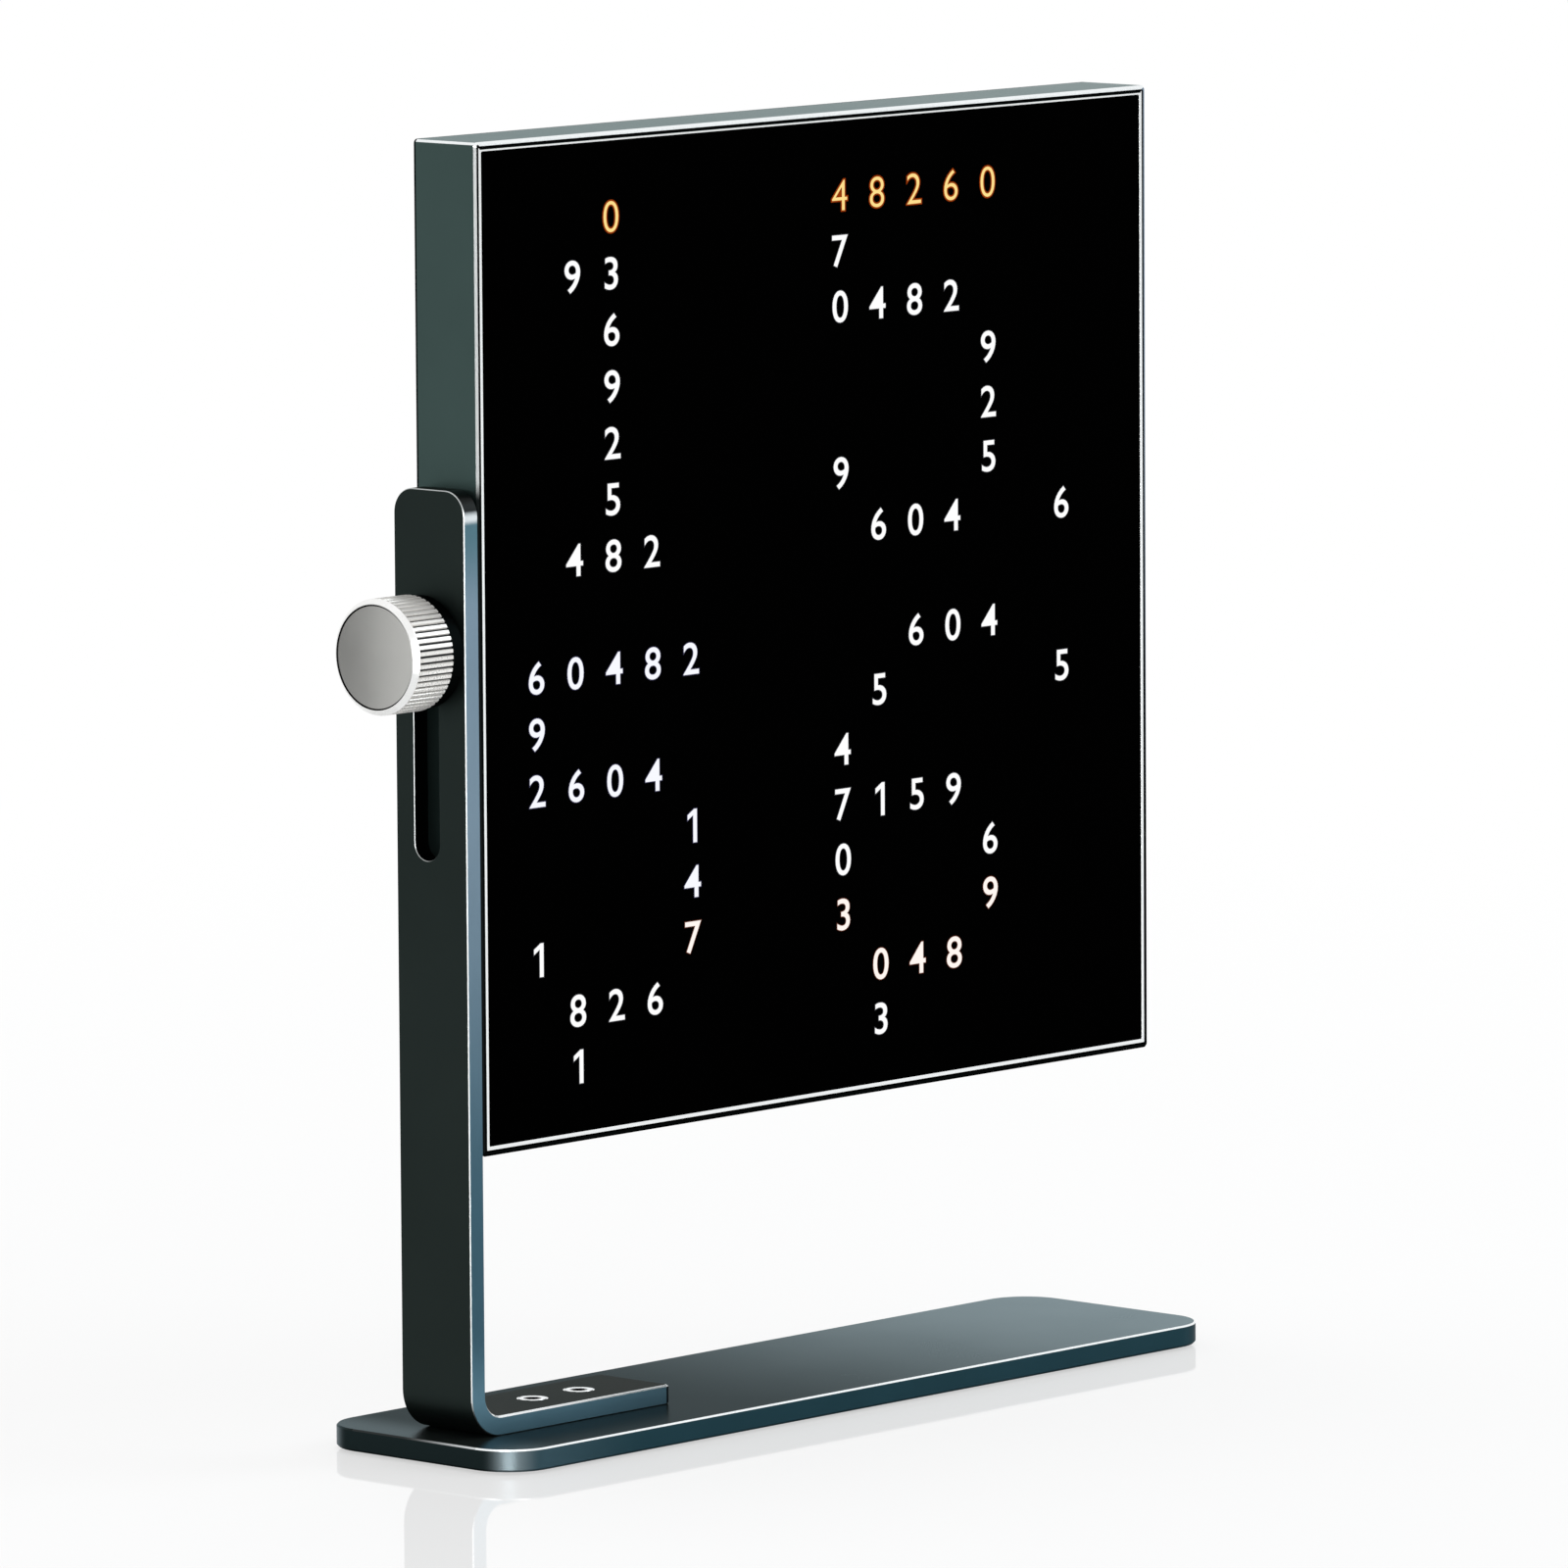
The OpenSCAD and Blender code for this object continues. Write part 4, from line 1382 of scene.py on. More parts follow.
    def slot_rings(self, shell: Shell) -> list[Ring]:
        """Builds the wall of the height slot, as long as the slide's travel.

        Args:
            shell: The bar's shell.

        Returns:
            The wall's rings, from the bar's outside in.
        """
        low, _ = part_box("upright_bracket")
        bush_low, bush_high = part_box("slot_bush")
        travel = next(joint for joint in frame["joints"] if joint["name"] == "height_slide")["range_m"]
        half = (bush_high.z - bush_low.z) / 2 + self.slot_gap
        slot = Outline(2 * half, 2 * half + travel[1] - travel[0], half, self.slot_steps)
        middle = (PIVOT.y, PIVOT.z + (travel[0] + travel[1]) / 2)
        thick, cut = self.bar_thickness(), self.slot_cut
        layers = [
            Layer(slot.grown(cut), low.x),
            Layer(slot, low.x + cut, BarSkin.SOFT),
            # The slot's wall is painted black shade.
            Layer(slot, low.x + thick - cut, BarSkin.SHADOW),
            Layer(slot.grown(cut), low.x + thick, BarSkin.SOFT),
        ]
        return shell.stack(layers, Facing.SIDE, middle, first=None, last=None)

    def screw_holes(self, shell: Shell) -> list[list[Ring]]:
        """Builds the walls of the two countersunk holes in the foot.

        Args:
            shell: The bar's shell.

        Returns:
            Each hole's rings, from the top down.
        """
        bar_low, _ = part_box("upright_bracket")
        low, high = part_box("foot_screws")
        head = (high.y - low.y) / 2 + self.screw_gap
        shank = Outline.circle(self.shank_share * head)
        top = bar_low.z + self.bar_thickness()
        layers = [
            Layer(Outline.circle(head + self.hole_rim), top),
            Layer(Outline.circle(head), top - self.hole_rim, BarSkin.BRIGHT),
            Layer(shank, top - self.hole_rim - self.screw_sink),
            Layer(shank, bar_low.z),
        ]
        across = (low.y + high.y) / 2
        places = [(x, across) for x in (low.x + head - self.screw_gap, high.x - head + self.screw_gap)]
        return [shell.stack(layers, Facing.UP, place, first=None, last=None) for place in places]

    def cover_side(self, shell: Shell, ring: Ring, slot: Ring, holes: Sequence[Ring]) -> None:
        """Closes one broad side of the bar.

        Args:
            shell: The bar's shell.
            ring: The side's outline.
            slot: The slot's ring on that side.
            holes: The screw holes' rings on that side.
        """
        bend_end = BEND_START + self.bend_steps
        shell.face(ring[:BEND_START + 1] + ring[-BEND_START - 1:], holes)
        for index in range(BEND_START, bend_end):
            shell.mesh.faces.new((ring[index], ring[index + 1], ring[-2 - index], ring[-1 - index]))
        shell.face(ring[bend_end:-bend_end], [slot])

    def foot_screws(self) -> None:
        """Builds the two screws that hold the foot: dark heads with a bright raised rim."""
        low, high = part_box("foot_screws")
        head = (high.y - low.y) / 2
        socket = self.screw_socket_share * head
        screw = ScrewHead(head, self.screw_sink, socket, self.screw_socket_depth).template()
        reach = high.x - low.x - 2 * head
        sizes = {"Size X": reach, "Size Y": 0.0, "Vertices X": 2, "Vertices Y": 1}
        middle = middle_of("foot_screws")
        place = Matrix.Translation((middle.x, middle.y, high.z))
        made = Repeat("foot_screw_heads", Pattern.GRID, sizes).build(screw, BLACKENED, place)
        stand_for(made, "stand", "screw_steel", "foot_screws")
        rims = Repeat("foot_screw_rims", Pattern.GRID, sizes).build(self.screw_rim(head), CUT_EDGE, place)
        stand_for(rims, "stand", "screw_steel")

    def screw_rim(self, head: float) -> bpy.types.Object:
        """Makes the rounded rim of a screw head, about the origin, for a Repeat.

        Args:
            head: The head's radius.

        Returns:
            The rim.
        """
        layers = [
            Layer(Outline.circle(share * head, self.rim_steps), rise * self.screw_rise)
            for share, rise in self.rim_section
        ]
        shell = Shell()
        shell.stack(layers, Facing.UP, (0.0, 0.0), looped=True)
        return shell.piece("rim_template", [CUT_EDGE])


# Clamp


class KnobSkin(IntEnum):
    """Skins of the knob's body, in the order of its finishes."""

    SIDE = 0
    BEVEL = 1
    GROOVE = 2
    NECK = 3


@dataclass
class Clamp:
    """Knob, washers, bush and stud that hold the display at its height and tilt."""

    bevel: float = 0.8 * MM
    plain_band: float = 0.25 * MM
    band_break: float = 0.12 * MM
    ridge_count: int = 56
    ridge_depth: float = 0.42 * MM
    ridge_share: float = 0.66
    ridge_root: Point = (-0.2 * MM, 1.05)
    ridge_waist: Point = (0.6, 1.0)
    ridge_crest: float = 0.72
    ridge_slope: float = 0.5
    ridge_overlap: float = 0.05 * MM
    neck_length: float = 2.6 * MM
    neck_inset: float = 0.3 * MM
    neck_slope: float = 0.02 * MM
    cap_gap: float = 0.04 * MM
    cap_seam: float = 0.14 * MM
    cap_break: float = 0.12 * MM
    crease: float = 25.0
    round_steps: int = 24

    def build(self) -> None:
        """Builds the knob and dresses the rest."""
        self.knob_body()
        self.knob_ridges()
        self.knob_face()
        dress(BLACKENED, "clamp_washer")
        dress(STEEL, "clamp_stud")
        dress(NYLON, "slot_bush")
        dress(FIBRE, "friction_washer")

    def knob_body(self) -> None:
        """Builds the turned body: neck, core, plain band at the face, bevelled rim and the seat of the cap."""
        low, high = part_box("clamp_knob")
        cap_low, cap_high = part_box("knob_cap")
        radius = (high.z - low.z) / 2
        core = radius - self.ridge_depth
        seat = (cap_high.z - cap_low.z) / 2 + self.cap_gap
        band_end = low.x + self.bevel + self.plain_band
        neck, shoulder = radius - self.neck_inset, high.x - self.neck_length
        # Painted shade: the neck is near black like the knob's shadow on the bar, and the floor between the ridges and
        # the cap's seat are dark.
        profile = [
            (neck, high.x, KnobSkin.NECK),
            (neck, shoulder, KnobSkin.NECK),
            (core, shoulder - self.neck_slope, KnobSkin.NECK),
            (core, band_end, KnobSkin.GROOVE),
            (radius - self.band_break, band_end, KnobSkin.SIDE),
            (radius, band_end - self.band_break, KnobSkin.SIDE),
            (radius, low.x + self.bevel, KnobSkin.SIDE),
            (radius - self.bevel, low.x, KnobSkin.BEVEL),
            (seat, low.x, KnobSkin.BEVEL),
            (seat, cap_high.x, KnobSkin.GROOVE),
        ]
        layers = [Layer(Outline.circle(around, self.round_steps), level, skin) for around, level, skin in profile]
        shell = Shell()
        shell.stack(layers, Facing.SIDE, PIVOT.yz[:], first=KnobSkin.NECK, last=KnobSkin.GROOVE)
        piece = shell.piece("knob_body", [KNOB_SIDE, KNOB_BEVEL, KNOB_GROOVE, PAINTED_SHADE], self.crease)
        stand_for(piece, "knob", "knob_metal", "clamp_knob")

    def knob_ridges(self) -> None:
        """Builds the straight ridges round the knob."""
        low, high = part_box("clamp_knob")
        radius = (high.z - low.z) / 2
        core = radius - self.ridge_depth
        start = low.x + self.bevel + self.plain_band - self.ridge_overlap
        end = high.x - self.neck_length
        half = math.pi * radius / self.ridge_count * self.ridge_share
        rise, wide = self.ridge_waist
        flank = [self.ridge_root, (rise * self.ridge_depth, wide), (self.ridge_depth, self.ridge_crest)]
        section = [(out, -side) for out, side in flank] + flank[::-1]
        slope = self.ridge_slope * self.ridge_depth
        shell = Shell()
        rings = []
        for level, drop in ((start, 0.0), (end - slope, 0.0), (end, slope)):
            rings.append(shell.ring(Vector((out - drop, half * side, -level)) for out, side in section))
        for first, second in zip(rings, rings[1:]):
            shell.band(first, second)
        shell.face(rings[0])
        shell.face(rings[-1])
        ridge = shell.piece("ridge_template", [KNOB_SIDE])
        sizes = {"Vertices": self.ridge_count, "Radius": core}
        along_axis = Matrix(((0, 0, -1), (0, 1, 0), (1, 0, 0))).to_4x4()
        place = Matrix.Translation((0, PIVOT.y, PIVOT.z)) @ along_axis
        made = Repeat("knob_ridges", Pattern.RING, sizes).build(ridge, KNOB_SIDE, place)
        stand_for(made, "knob", "knob_metal")

    def knob_face(self) -> None:
        """Builds the inlaid face with its broken edge."""
        low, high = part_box("knob_cap")
        radius = (high.z - low.z) / 2 - self.cap_seam
        layers = [
            Layer(Outline.circle(radius, self.round_steps), high.x),
            Layer(Outline.circle(radius, self.round_steps), low.x + self.cap_break),
            Layer(Outline.circle(radius - self.cap_break, self.round_steps), low.x),
        ]
        shell = Shell()
        shell.stack(layers, Facing.SIDE, PIVOT.yz[:])
        stand_for(shell.piece("knob_face", [KNOB_FACE]), "knob", "knob_metal", "knob_cap")


# Numerals


class NumeralPart(IntEnum):
    """The two layers of a lit numeral, in the order of a glow's colours."""

    WINDOW = 0
    FRINGE = 1


class Glow(Enum):
    """Light colours of the numeral windows, as window and fringe, and how much thinner the window looks."""

    WHITE = ((1.0, 1.0, 1.0), (0.060, 0.060, 0.066), 0.0)
    AMBER = ((1.0, 0.74, 0.27), (0.30, 0.040, 0.003), 0.13 * MM)
    COOL = ((0.94, 0.95, 1.0), (0.060, 0.058, 0.110), 0.0)
    WARM = ((1.0, 0.93, 0.88), (0.130, 0.042, 0.026), 0.0)

    def colour(self, part: NumeralPart) -> Colour:
        """Gives the colour of the window or of its fringe."""
        return self.value[part]

    def thinning(self, part: NumeralPart) -> float:
        """Gives how much thinner the strokes of a part are."""
        return self.value[-1] if part is NumeralPart.WINDOW else 0.0


# Rows and columns of the windows that aren't white; the first area that holds a window counts
GLOW_AREAS: tuple[tuple[Glow, range, range], ...] = (
    (Glow.AMBER, range(0, 1), range(0, 16)),
    (Glow.WARM, range(13, 15), range(4, 16)),
    (Glow.COOL, range(8, 13), range(0, 8)),
)

DOT_DIGITS: Mapping[str, tuple[str, ...]] = {
    "1": ("..#..", ".##..", "..#..", "..#..", "..#..", "..#..", ".###."),
    "5": ("#####", "#....", "####.", "....#", "....#", "#...#", ".###."),
    "6": ("..###", ".#...", "#....", "####.", "#...#", "#...#", ".###."),
}

# The height of a numeral of size 1 in the built-in face
DIGIT_HEIGHT = 0.729

FLAGGED_ONE: tuple[Point, ...] = (
    (0.19, 0.0), (0.285, 0.0), (0.285, DIGIT_HEIGHT), (0.21, DIGIT_HEIGHT), (0.03, 0.61), (0.03, 0.51), (0.19, 0.615)
)


@dataclass
class NumeralMatrix:
    """The lit windows of the numeral matrix, which spell a time in large dot digits."""

    time: str = "1556"
    digit_corners: tuple[Cell, ...] = ((0, 0), (0, 8), (8, 0), (8, 8))
    colon: tuple[Cell, ...] = ((6, 14), (9, 14))
    minute_marks: tuple[Cell, ...] = ((15, 1), (15, 9))
    first_numeral: int = 2
    row_step: int = 3
    column_step: int = 4
    cells: int = 16
    cell_pitch: float = 10 * MM
    numeral_height: float = 5.9 * MM
    numeral_widening: float = 1.12
    boldness: float = 0.05 * MM
    fringe_width: float = 0.14 * MM
    proud: float = 0.03 * MM
    thickness: float = 0.02 * MM
    curve_steps: int = 6

    def lit(self) -> Iterator[Cell]:
        """Goes through the lit windows.

        Yields:
            Row and column of each.
        """
        for digit, (top, left) in zip(self.time, self.digit_corners):
            for row, dots in enumerate(DOT_DIGITS[digit]):
                for column, dot in enumerate(dots):
                    if dot == "#":
                        yield top + row, left + column
        yield from (*self.colon, *self.minute_marks)

    def numeral(self, row: int, column: int) -> int:
        """Gives the numeral printed in a window."""
        return (self.first_numeral + self.row_step * row + self.column_step * column) % 10

    def glow(self, row: int, column: int) -> Glow:
        """Gives the light colour of a window.

        Args:
            row: The window's row, from the top.
            column: The window's column, from the left.

        Returns:
            The colour.
        """
        for glow, rows, columns in GLOW_AREAS:
            if row in rows and column in columns:
                return glow
        return Glow.WHITE

    def build(self, front: float) -> None:
        """Builds the lit numerals and their fringes on the glass.

        Args:
            front: The glass face's place along Y.
        """
        # The fringe layer is a painted halo of glow round each numeral.
        layers = (
            ("lit_numerals", self.boldness, self.proud, NumeralPart.WINDOW, NUMERAL),
            ("numeral_fringes", self.boldness + self.fringe_width, self.proud / 2, NumeralPart.FRINGE, FRINGE),
        )
        for name, spread, rise, part, finish in layers:
            piece = self.layer(name, spread, front - rise, part, finish)
            stand_for(piece, "display", "printed_film")

    def layer(
        self, name: str, spread: float, level: float, part: NumeralPart, finish: Finish
    ) -> bpy.types.Object:
        """Builds one layer of all lit numerals.

        Args:
            name: The piece's name.
            spread: How much wider than the numeral each shape is.
            level: The layer's face along Y.
            part: Which of a glow's colours the layer has.
            finish: The layer's finish.

        Returns:
            The piece.
        """
        low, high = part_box("led_chips")
        pitch = self.cell_pitch
        edge = (high.z - low.z - (self.cells - 1) * pitch) / 2
        shapes: dict[tuple[int, float], bpy.types.Mesh] = {}
        gathered = bmesh.new()
        tones = gathered.verts.layers.float_color.new("glow")
        for row, column in self.lit():
            before = len(gathered.verts)
            glow = self.glow(row, column)
            digit, width = self.numeral(row, column), spread - glow.thinning(part)
            if (digit, width) not in shapes:
                shapes[digit, width] = self.shape(digit, width)
            gathered.from_mesh(shapes[digit, width])
            gathered.verts.ensure_lookup_table()
            where = Vector((low.x + edge + column * pitch, level, high.z - edge - row * pitch))
            tone = (*glow.colour(part), 1.0)
            for corner in gathered.verts[before:]:
                corner.co += where
                corner[tones] = tone
        for shape in shapes.values():
            bpy.data.meshes.remove(shape)
        data = bpy.data.meshes.new(name)
        gathered.to_mesh(data)
        gathered.free()
        return mesh_piece(name, data, [finish])

    def plain_digit(self, digit: int) -> bpy.types.Curve:
        """Draws a numeral in the plain built-in face.

        Args:
            digit: The numeral.

        Returns:
            Its outline.
        """
        curve = bpy.data.curves.new("numeral", "FONT")
        curve.body = str(digit)
        curve.resolution_u = self.curve_steps
        return curve

    @staticmethod
    def flagged_one() -> bpy.types.Curve:
        """Draws a 1 with a flag, because the plain face draws it as a bare stroke.

        Returns:
            Its outline.
        """
        curve = bpy.data.curves.new("numeral", "CURVE")
        curve.dimensions = "2D"
        curve.fill_mode = "BOTH"
        stroke = curve.splines.new("POLY")
        stroke.points.add(len(FLAGGED_ONE) - 1)
        for point, (across, up) in zip(stroke.points, FLAGGED_ONE):
            point.co = (across, up, 0.0, 1.0)
        stroke.use_cyclic_u = True
        return curve

    def shape(self, digit: int, spread: float) -> bpy.types.Mesh:
        """Makes one numeral as a thin solid, its face in the plane of zero depth, centred on its height and width.

        Args:
            digit: The numeral.
            spread: How much wider than the numeral its outline is.

        Returns:
            Its mesh, facing forwards.
        """
        curve = self.flagged_one() if digit == 1 else self.plain_digit(digit)
        curve.extrude = 0.5
        host = bpy.data.objects.new("numeral", curve)
        bpy.context.scene.collection.objects.link(host)
        natural = [corner.co.copy() for corner in plain_mesh(host).vertices]
        low = Vector(map(min, *natural))
        high = Vector(map(max, *natural))
        scale = self.numeral_height / DIGIT_HEIGHT
        curve.offset = spread / scale
        bpy.context.view_layer.update()
        data = plain_mesh(host)
        bpy.data.objects.remove(host)
        middle = (low + high) / 2
        data.transform(Matrix.Translation((-middle.x, -middle.y, -0.5)))
        data.transform(Matrix.Diagonal((scale * self.numeral_widening, scale, self.thickness, 1.0)))
        data.transform(Matrix.Rotation(math.pi / 2, 4, "X"))
        return data


# Rear cover and buttons


class Key(Enum):
    """The three push buttons, by the word that the names of their nodes and bodies start with."""

    SET = "set"
    PLUS = "plus"
    MINUS = "minus"


def front_outline(node: str, corner: float, steps: int = 8) -> Outline:
    """Gives the outline of a node seen from the front.

    Args:
        node: The CAD node.
        corner: The radius of its corners.
        steps: The number of faces round each corner.

    Returns:
        The outline of the node's box.
    """
    low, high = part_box(node)
    return Outline(high.x - low.x, high.z - low.z, corner, steps)


def front_middle(node: str) -> Point:
    """Gives the middle of a node seen from the front."""
    centre = middle_of(node)
    return centre.x, centre.z


@dataclass
class RearCover:
    """Moulded cover of the display's back, with its screws and push buttons."""

    corner: float = 0.5 * MM
    edge_cut: float = 0.3 * MM
    thickness: float = 1.8 * MM
    screw_head: float = 1.8 * MM
    screw_sink: float = 0.9 * MM
    screw_socket_share: float = 0.55
    screw_socket_depth: float = 0.6 * MM
    hole_gap: float = 0.05 * MM
    hole_cut: float = 0.1 * MM
    shank_share: float = 0.6
    recess_depth: float = 0.35 * MM
    recess_margin: float = 2.2 * MM
    recess_cut: float = 0.2 * MM
    recess_steps: int = 14
    button_gap: float = 0.12 * MM
    button_hole_cut: float = 0.15 * MM
    flange_width: float = 0.8 * MM
    flange_thickness: float = 0.8 * MM
    cap_edge: tuple[Point, ...] = (
        (0.0, 0.4 * MM), (0.12 * MM, 0.12 * MM), (0.4 * MM, 0.0), (0.75 * MM, 0.05 * MM)
    )
    cap_steps: int = 12
    dish_share: float = 0.35
    dish_depth: float = 0.12 * MM
    sign_reach: float = 0.85 * MM
    sign_bar: float = 0.22 * MM
    sign_foot: float = 0.3 * MM
    sign_drop: float = 0.02 * MM
    sign_steps: int = 10

    def build(self) -> None:
        """Builds the cover, its screws and its buttons."""
        self.cover()
        self.screws()
        for key in Key:
            self.button(key)
        for key in Key:
            self.sign(key)

    def cover(self) -> None:
        """Builds the cover with its screw holes and the recess that the buttons stand in."""
        _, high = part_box("rear_cover")
        back, front = high.y, high.y - self.thickness
        edge = front_outline("rear_cover", self.corner)
        cut = self.edge_cut
        shell = Shell()
        rings = shell.stack(
            [Layer(edge.grown(-cut), back), Layer(edge, back - cut), Layer(edge, front)],
            Facing.FRONT,
            front_middle("display_frame"),
            first=None,
            last=None,
        )
        screws = self.screw_holes(shell, back, front)
        recess, floor_holes = self.button_recess(shell, back, front)
        shell.face(rings[0], [hole[0] for hole in screws] + [recess])
        shell.face(rings[-1], [hole[-1] for hole in screws] + [hole[-1] for hole in floor_holes])
        stand_for(shell.piece("cover", [COVER]), "display", "cover_plastic", "rear_cover")

    def screw_holes(self, shell: Shell, back: float, front: float) -> list[list[Ring]]:
        """Builds the walls of the screw holes.

        Args:
            shell: The cover's shell.
            back: The cover's back face along Y.
            front: The cover's inner face along Y.

        Returns:
            Each hole's rings, from the back.
        """
        low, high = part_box("rear_cover_screws")
        head, cut = self.screw_head, self.hole_cut
        seat = Outline.circle(head + self.hole_gap)
        shank = Outline.circle(self.shank_share * head)
        layers = [
            Layer(seat.grown(cut), back),
            Layer(seat, back - cut),
            Layer(shank, back - cut - self.screw_sink),
            Layer(shank, front),
        ]
        places = [(x, z) for x in (low.x + head, high.x - head) for z in (low.z + head, high.z - head)]
        return [shell.stack(layers, Facing.FRONT, place, first=None, last=None) for place in places]

    def button_recess(self, shell: Shell, back: float, front: float) -> tuple[Ring, list[list[Ring]]]:
        """Builds the shallow recess round the buttons, with their holes in its floor.

        Args:
            shell: The cover's shell.
            back: The cover's back face along Y.
            front: The cover's inner face along Y.

        Returns:
            The recess's ring in the back face, and the rings of the holes.
        """
        places = [front_middle(f"{key.value}_button") for key in Key]
        radius = self.cap_radius(Key.SET) + self.recess_margin
        across = [x for x, _ in places]
        middle = (sum(across) / len(across), places[0][1])
        pill = Outline(max(across) - min(across) + 2 * radius, 2 * radius, radius, self.recess_steps)
        floor, cut = back - self.recess_depth, self.recess_cut
        layers = [Layer(pill.grown(cut), back), Layer(pill, back - cut), Layer(pill, floor)]
        walls = shell.stack(layers, Facing.FRONT, middle, first=None, last=None)
        hole = Outline.circle(self.cap_radius(Key.SET) + self.button_gap)
        rounds = [
            Layer(hole.grown(self.button_hole_cut), floor),
            Layer(hole, floor - self.button_hole_cut),
            Layer(hole, front),
        ]
        holes = [shell.stack(rounds, Facing.FRONT, place, first=None, last=None) for place in places]
        shell.face(walls[-1], [rings[0] for rings in holes])
        return walls[0], holes

    def cap_radius(self, key: Key) -> float:
        """Gives the radius of a button's cap, inside its flange."""
        low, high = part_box(f"{key.value}_button")
        return (high.x - low.x) / 2 - self.flange_width

    def screws(self) -> None:
        """Builds the four screws of the cover."""
        low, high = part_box("rear_cover_screws")
        head = self.screw_head
        screw = ScrewHead(head, self.screw_sink, self.screw_socket_share * head, self.screw_socket_depth).template()
        across, up = high.x - low.x - 2 * head, high.z - low.z - 2 * head
        sizes = {"Size X": across, "Size Y": up, "Vertices X": 2, "Vertices Y": 2}
        middle = middle_of("rear_cover_screws")
        place = Matrix.Translation((middle.x, high.y, middle.z)) @ Matrix.Rotation(-math.pi / 2, 4, "X")
        made = Repeat("cover_screw_heads", Pattern.GRID, sizes).build(screw, STEEL, place)
        stand_for(made, "display", "screw_steel", "rear_cover_screws")

    def button(self, key: Key) -> None:
        """Builds one push button: flange inside, cap with a soft edge and a dished top.

        Args:
            key: The button.
        """
        name = key.value
        low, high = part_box(f"{name}_button")
        cap = self.cap_radius(key)
        flange = cap + self.flange_width
        flange_top = low.y + self.flange_thickness
        profile = [
            (flange, low.y),
            (flange, flange_top),
            (cap, flange_top),
            *((cap - inset, high.y - drop) for inset, drop in self.cap_edge),
            (self.dish_share * cap, high.y - self.dish_depth),
        ]
        layers = [Layer(Outline.circle(radius, self.cap_steps), level) for radius, level in profile]
        shell = Shell()
        shell.stack(layers, Facing.FRONT, front_middle(f"{name}_button"))
        stand_for(shell.piece(f"{name}_cap", [BUTTON]), f"{name}_key", "button_plastic", f"{name}_button")

    def sign(self, key: Key) -> None:
        """Builds the raised plain sign on a cap: a ring, a plus or a minus.

        Args:
            key: The button.
        """
        name = key.value
        _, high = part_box(f"{name}_button")
        place = front_middle(f"{name}_button")
        foot, top = high.y - self.sign_foot, high.y - self.sign_drop
        shell = Shell()
        if key is Key.SET:
            ring = Outline.circle(self.sign_reach, self.sign_steps)
            hole = Outline.circle(self.sign_reach - 2 * self.sign_bar, self.sign_steps)
            layers = [Layer(ring, foot), Layer(ring, top), Layer(hole, top), Layer(hole, foot)]
            shell.stack(layers, Facing.FRONT, place, looped=True)
        else:
            rings = [shell.ring(Facing.FRONT.lay(self.sign_corners(key), place, level)) for level in (foot, top)]
            shell.band(*rings)
            for ring in rings:
                shell.face(ring)
        stand_for(shell.piece(f"{name}_sign", [MARK]), f"{name}_key", "button_plastic")

    def sign_corners(self, key: Key) -> list[Point]:
        """Draws a plus or a minus sign about its middle.

        Args:
            key: The button that has the sign.

        Returns:
            The sign's corners once round.
        """
        bar, half = self.sign_bar, self.sign_reach
        if key is Key.MINUS:
            return [(half, -bar), (half, bar), (-half, bar), (-half, -bar)]
        corners = [(bar, bar), (bar, half), (-bar, half), (-bar, bar), (-half, bar), (-half, -bar)]
        return corners + [(-across, -along) for across, along in corners]


# Display


class FrameSkin(IntEnum):
    """Skins of the frame, in the order of its finishes."""

    FACE = 0
    BRIGHT = 1
    SHADOW = 2
    SHADED_CUT = 3
    SHADED_LIP = 4


class TrimSkin(IntEnum):
    """Skins of the trim ring, in the order of its finishes."""

    BRIGHT = 0
    SHADOW = 1


class GlassSkin(IntEnum):
    """Skins of the glass, in the order of its finishes."""

    FACE = 0
    GROUND = 1


@dataclass
class PowerSocket:
    """Drawn can of the power socket, and its mouth in the frame's underside."""

    gap: float = 0.15 * MM
    flare: float = 0.3 * MM
    wall: float = 0.3 * MM
    roll: float = 0.1 * MM
    corner_share: float = 0.45
    corner_steps: int = 8
    cutter_below: float = 1 * MM
    cutter_above: float = 4 * MM

    def outline(self) -> Outline:
        """Gives the outline from below.

        Returns:
            The outline of the socket's box, with round ends.
        """
        low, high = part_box("usb_socket")
        depth = high.y - low.y
        return Outline(high.x - low.x, depth, self.corner_share * depth, self.corner_steps)

    def cutter(self, level: float) -> bpy.types.Object:
        """Makes the solid that cuts the socket's mouth through the frame's underside.

        Args:
            level: The underside's height.

        Returns:
            The cutter.
        """
        mouth = self.outline().grown(self.gap)
        flare = mouth.grown(self.flare)
        layers = [
            Layer(flare, level - self.cutter_below),
            Layer(flare, level),
            Layer(mouth, level + self.flare),
            Layer(mouth, level + self.cutter_above),
        ]
        shell = Shell()
        middle = middle_of("usb_socket").xy[:]
        shell.stack(layers, Facing.UP, middle, first=FrameSkin.BRIGHT, last=FrameSkin.BRIGHT)
        return shell.piece("socket_cutter", [SLATE_FRAME, CUT_EDGE])

    def build(self) -> None:
        """Builds the can with its rolled mouth."""
        low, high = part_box("usb_socket")
        outer, roll = self.outline(), self.roll
        inner = outer.grown(-self.wall)
        layers = [
            Layer(outer, high.z),
            Layer(outer, low.z + roll),
            Layer(outer.grown(-roll), low.z),
            Layer(inner.grown(roll), low.z),
            Layer(inner, low.z + roll),
            Layer(inner, high.z - self.wall),
        ]
        shell = Shell()
        shell.stack(layers, Facing.UP, middle_of("usb_socket").xy[:])
        stand_for(shell.piece("socket_can", [CAN_STEEL]), "display", "can_steel", "usb_socket")


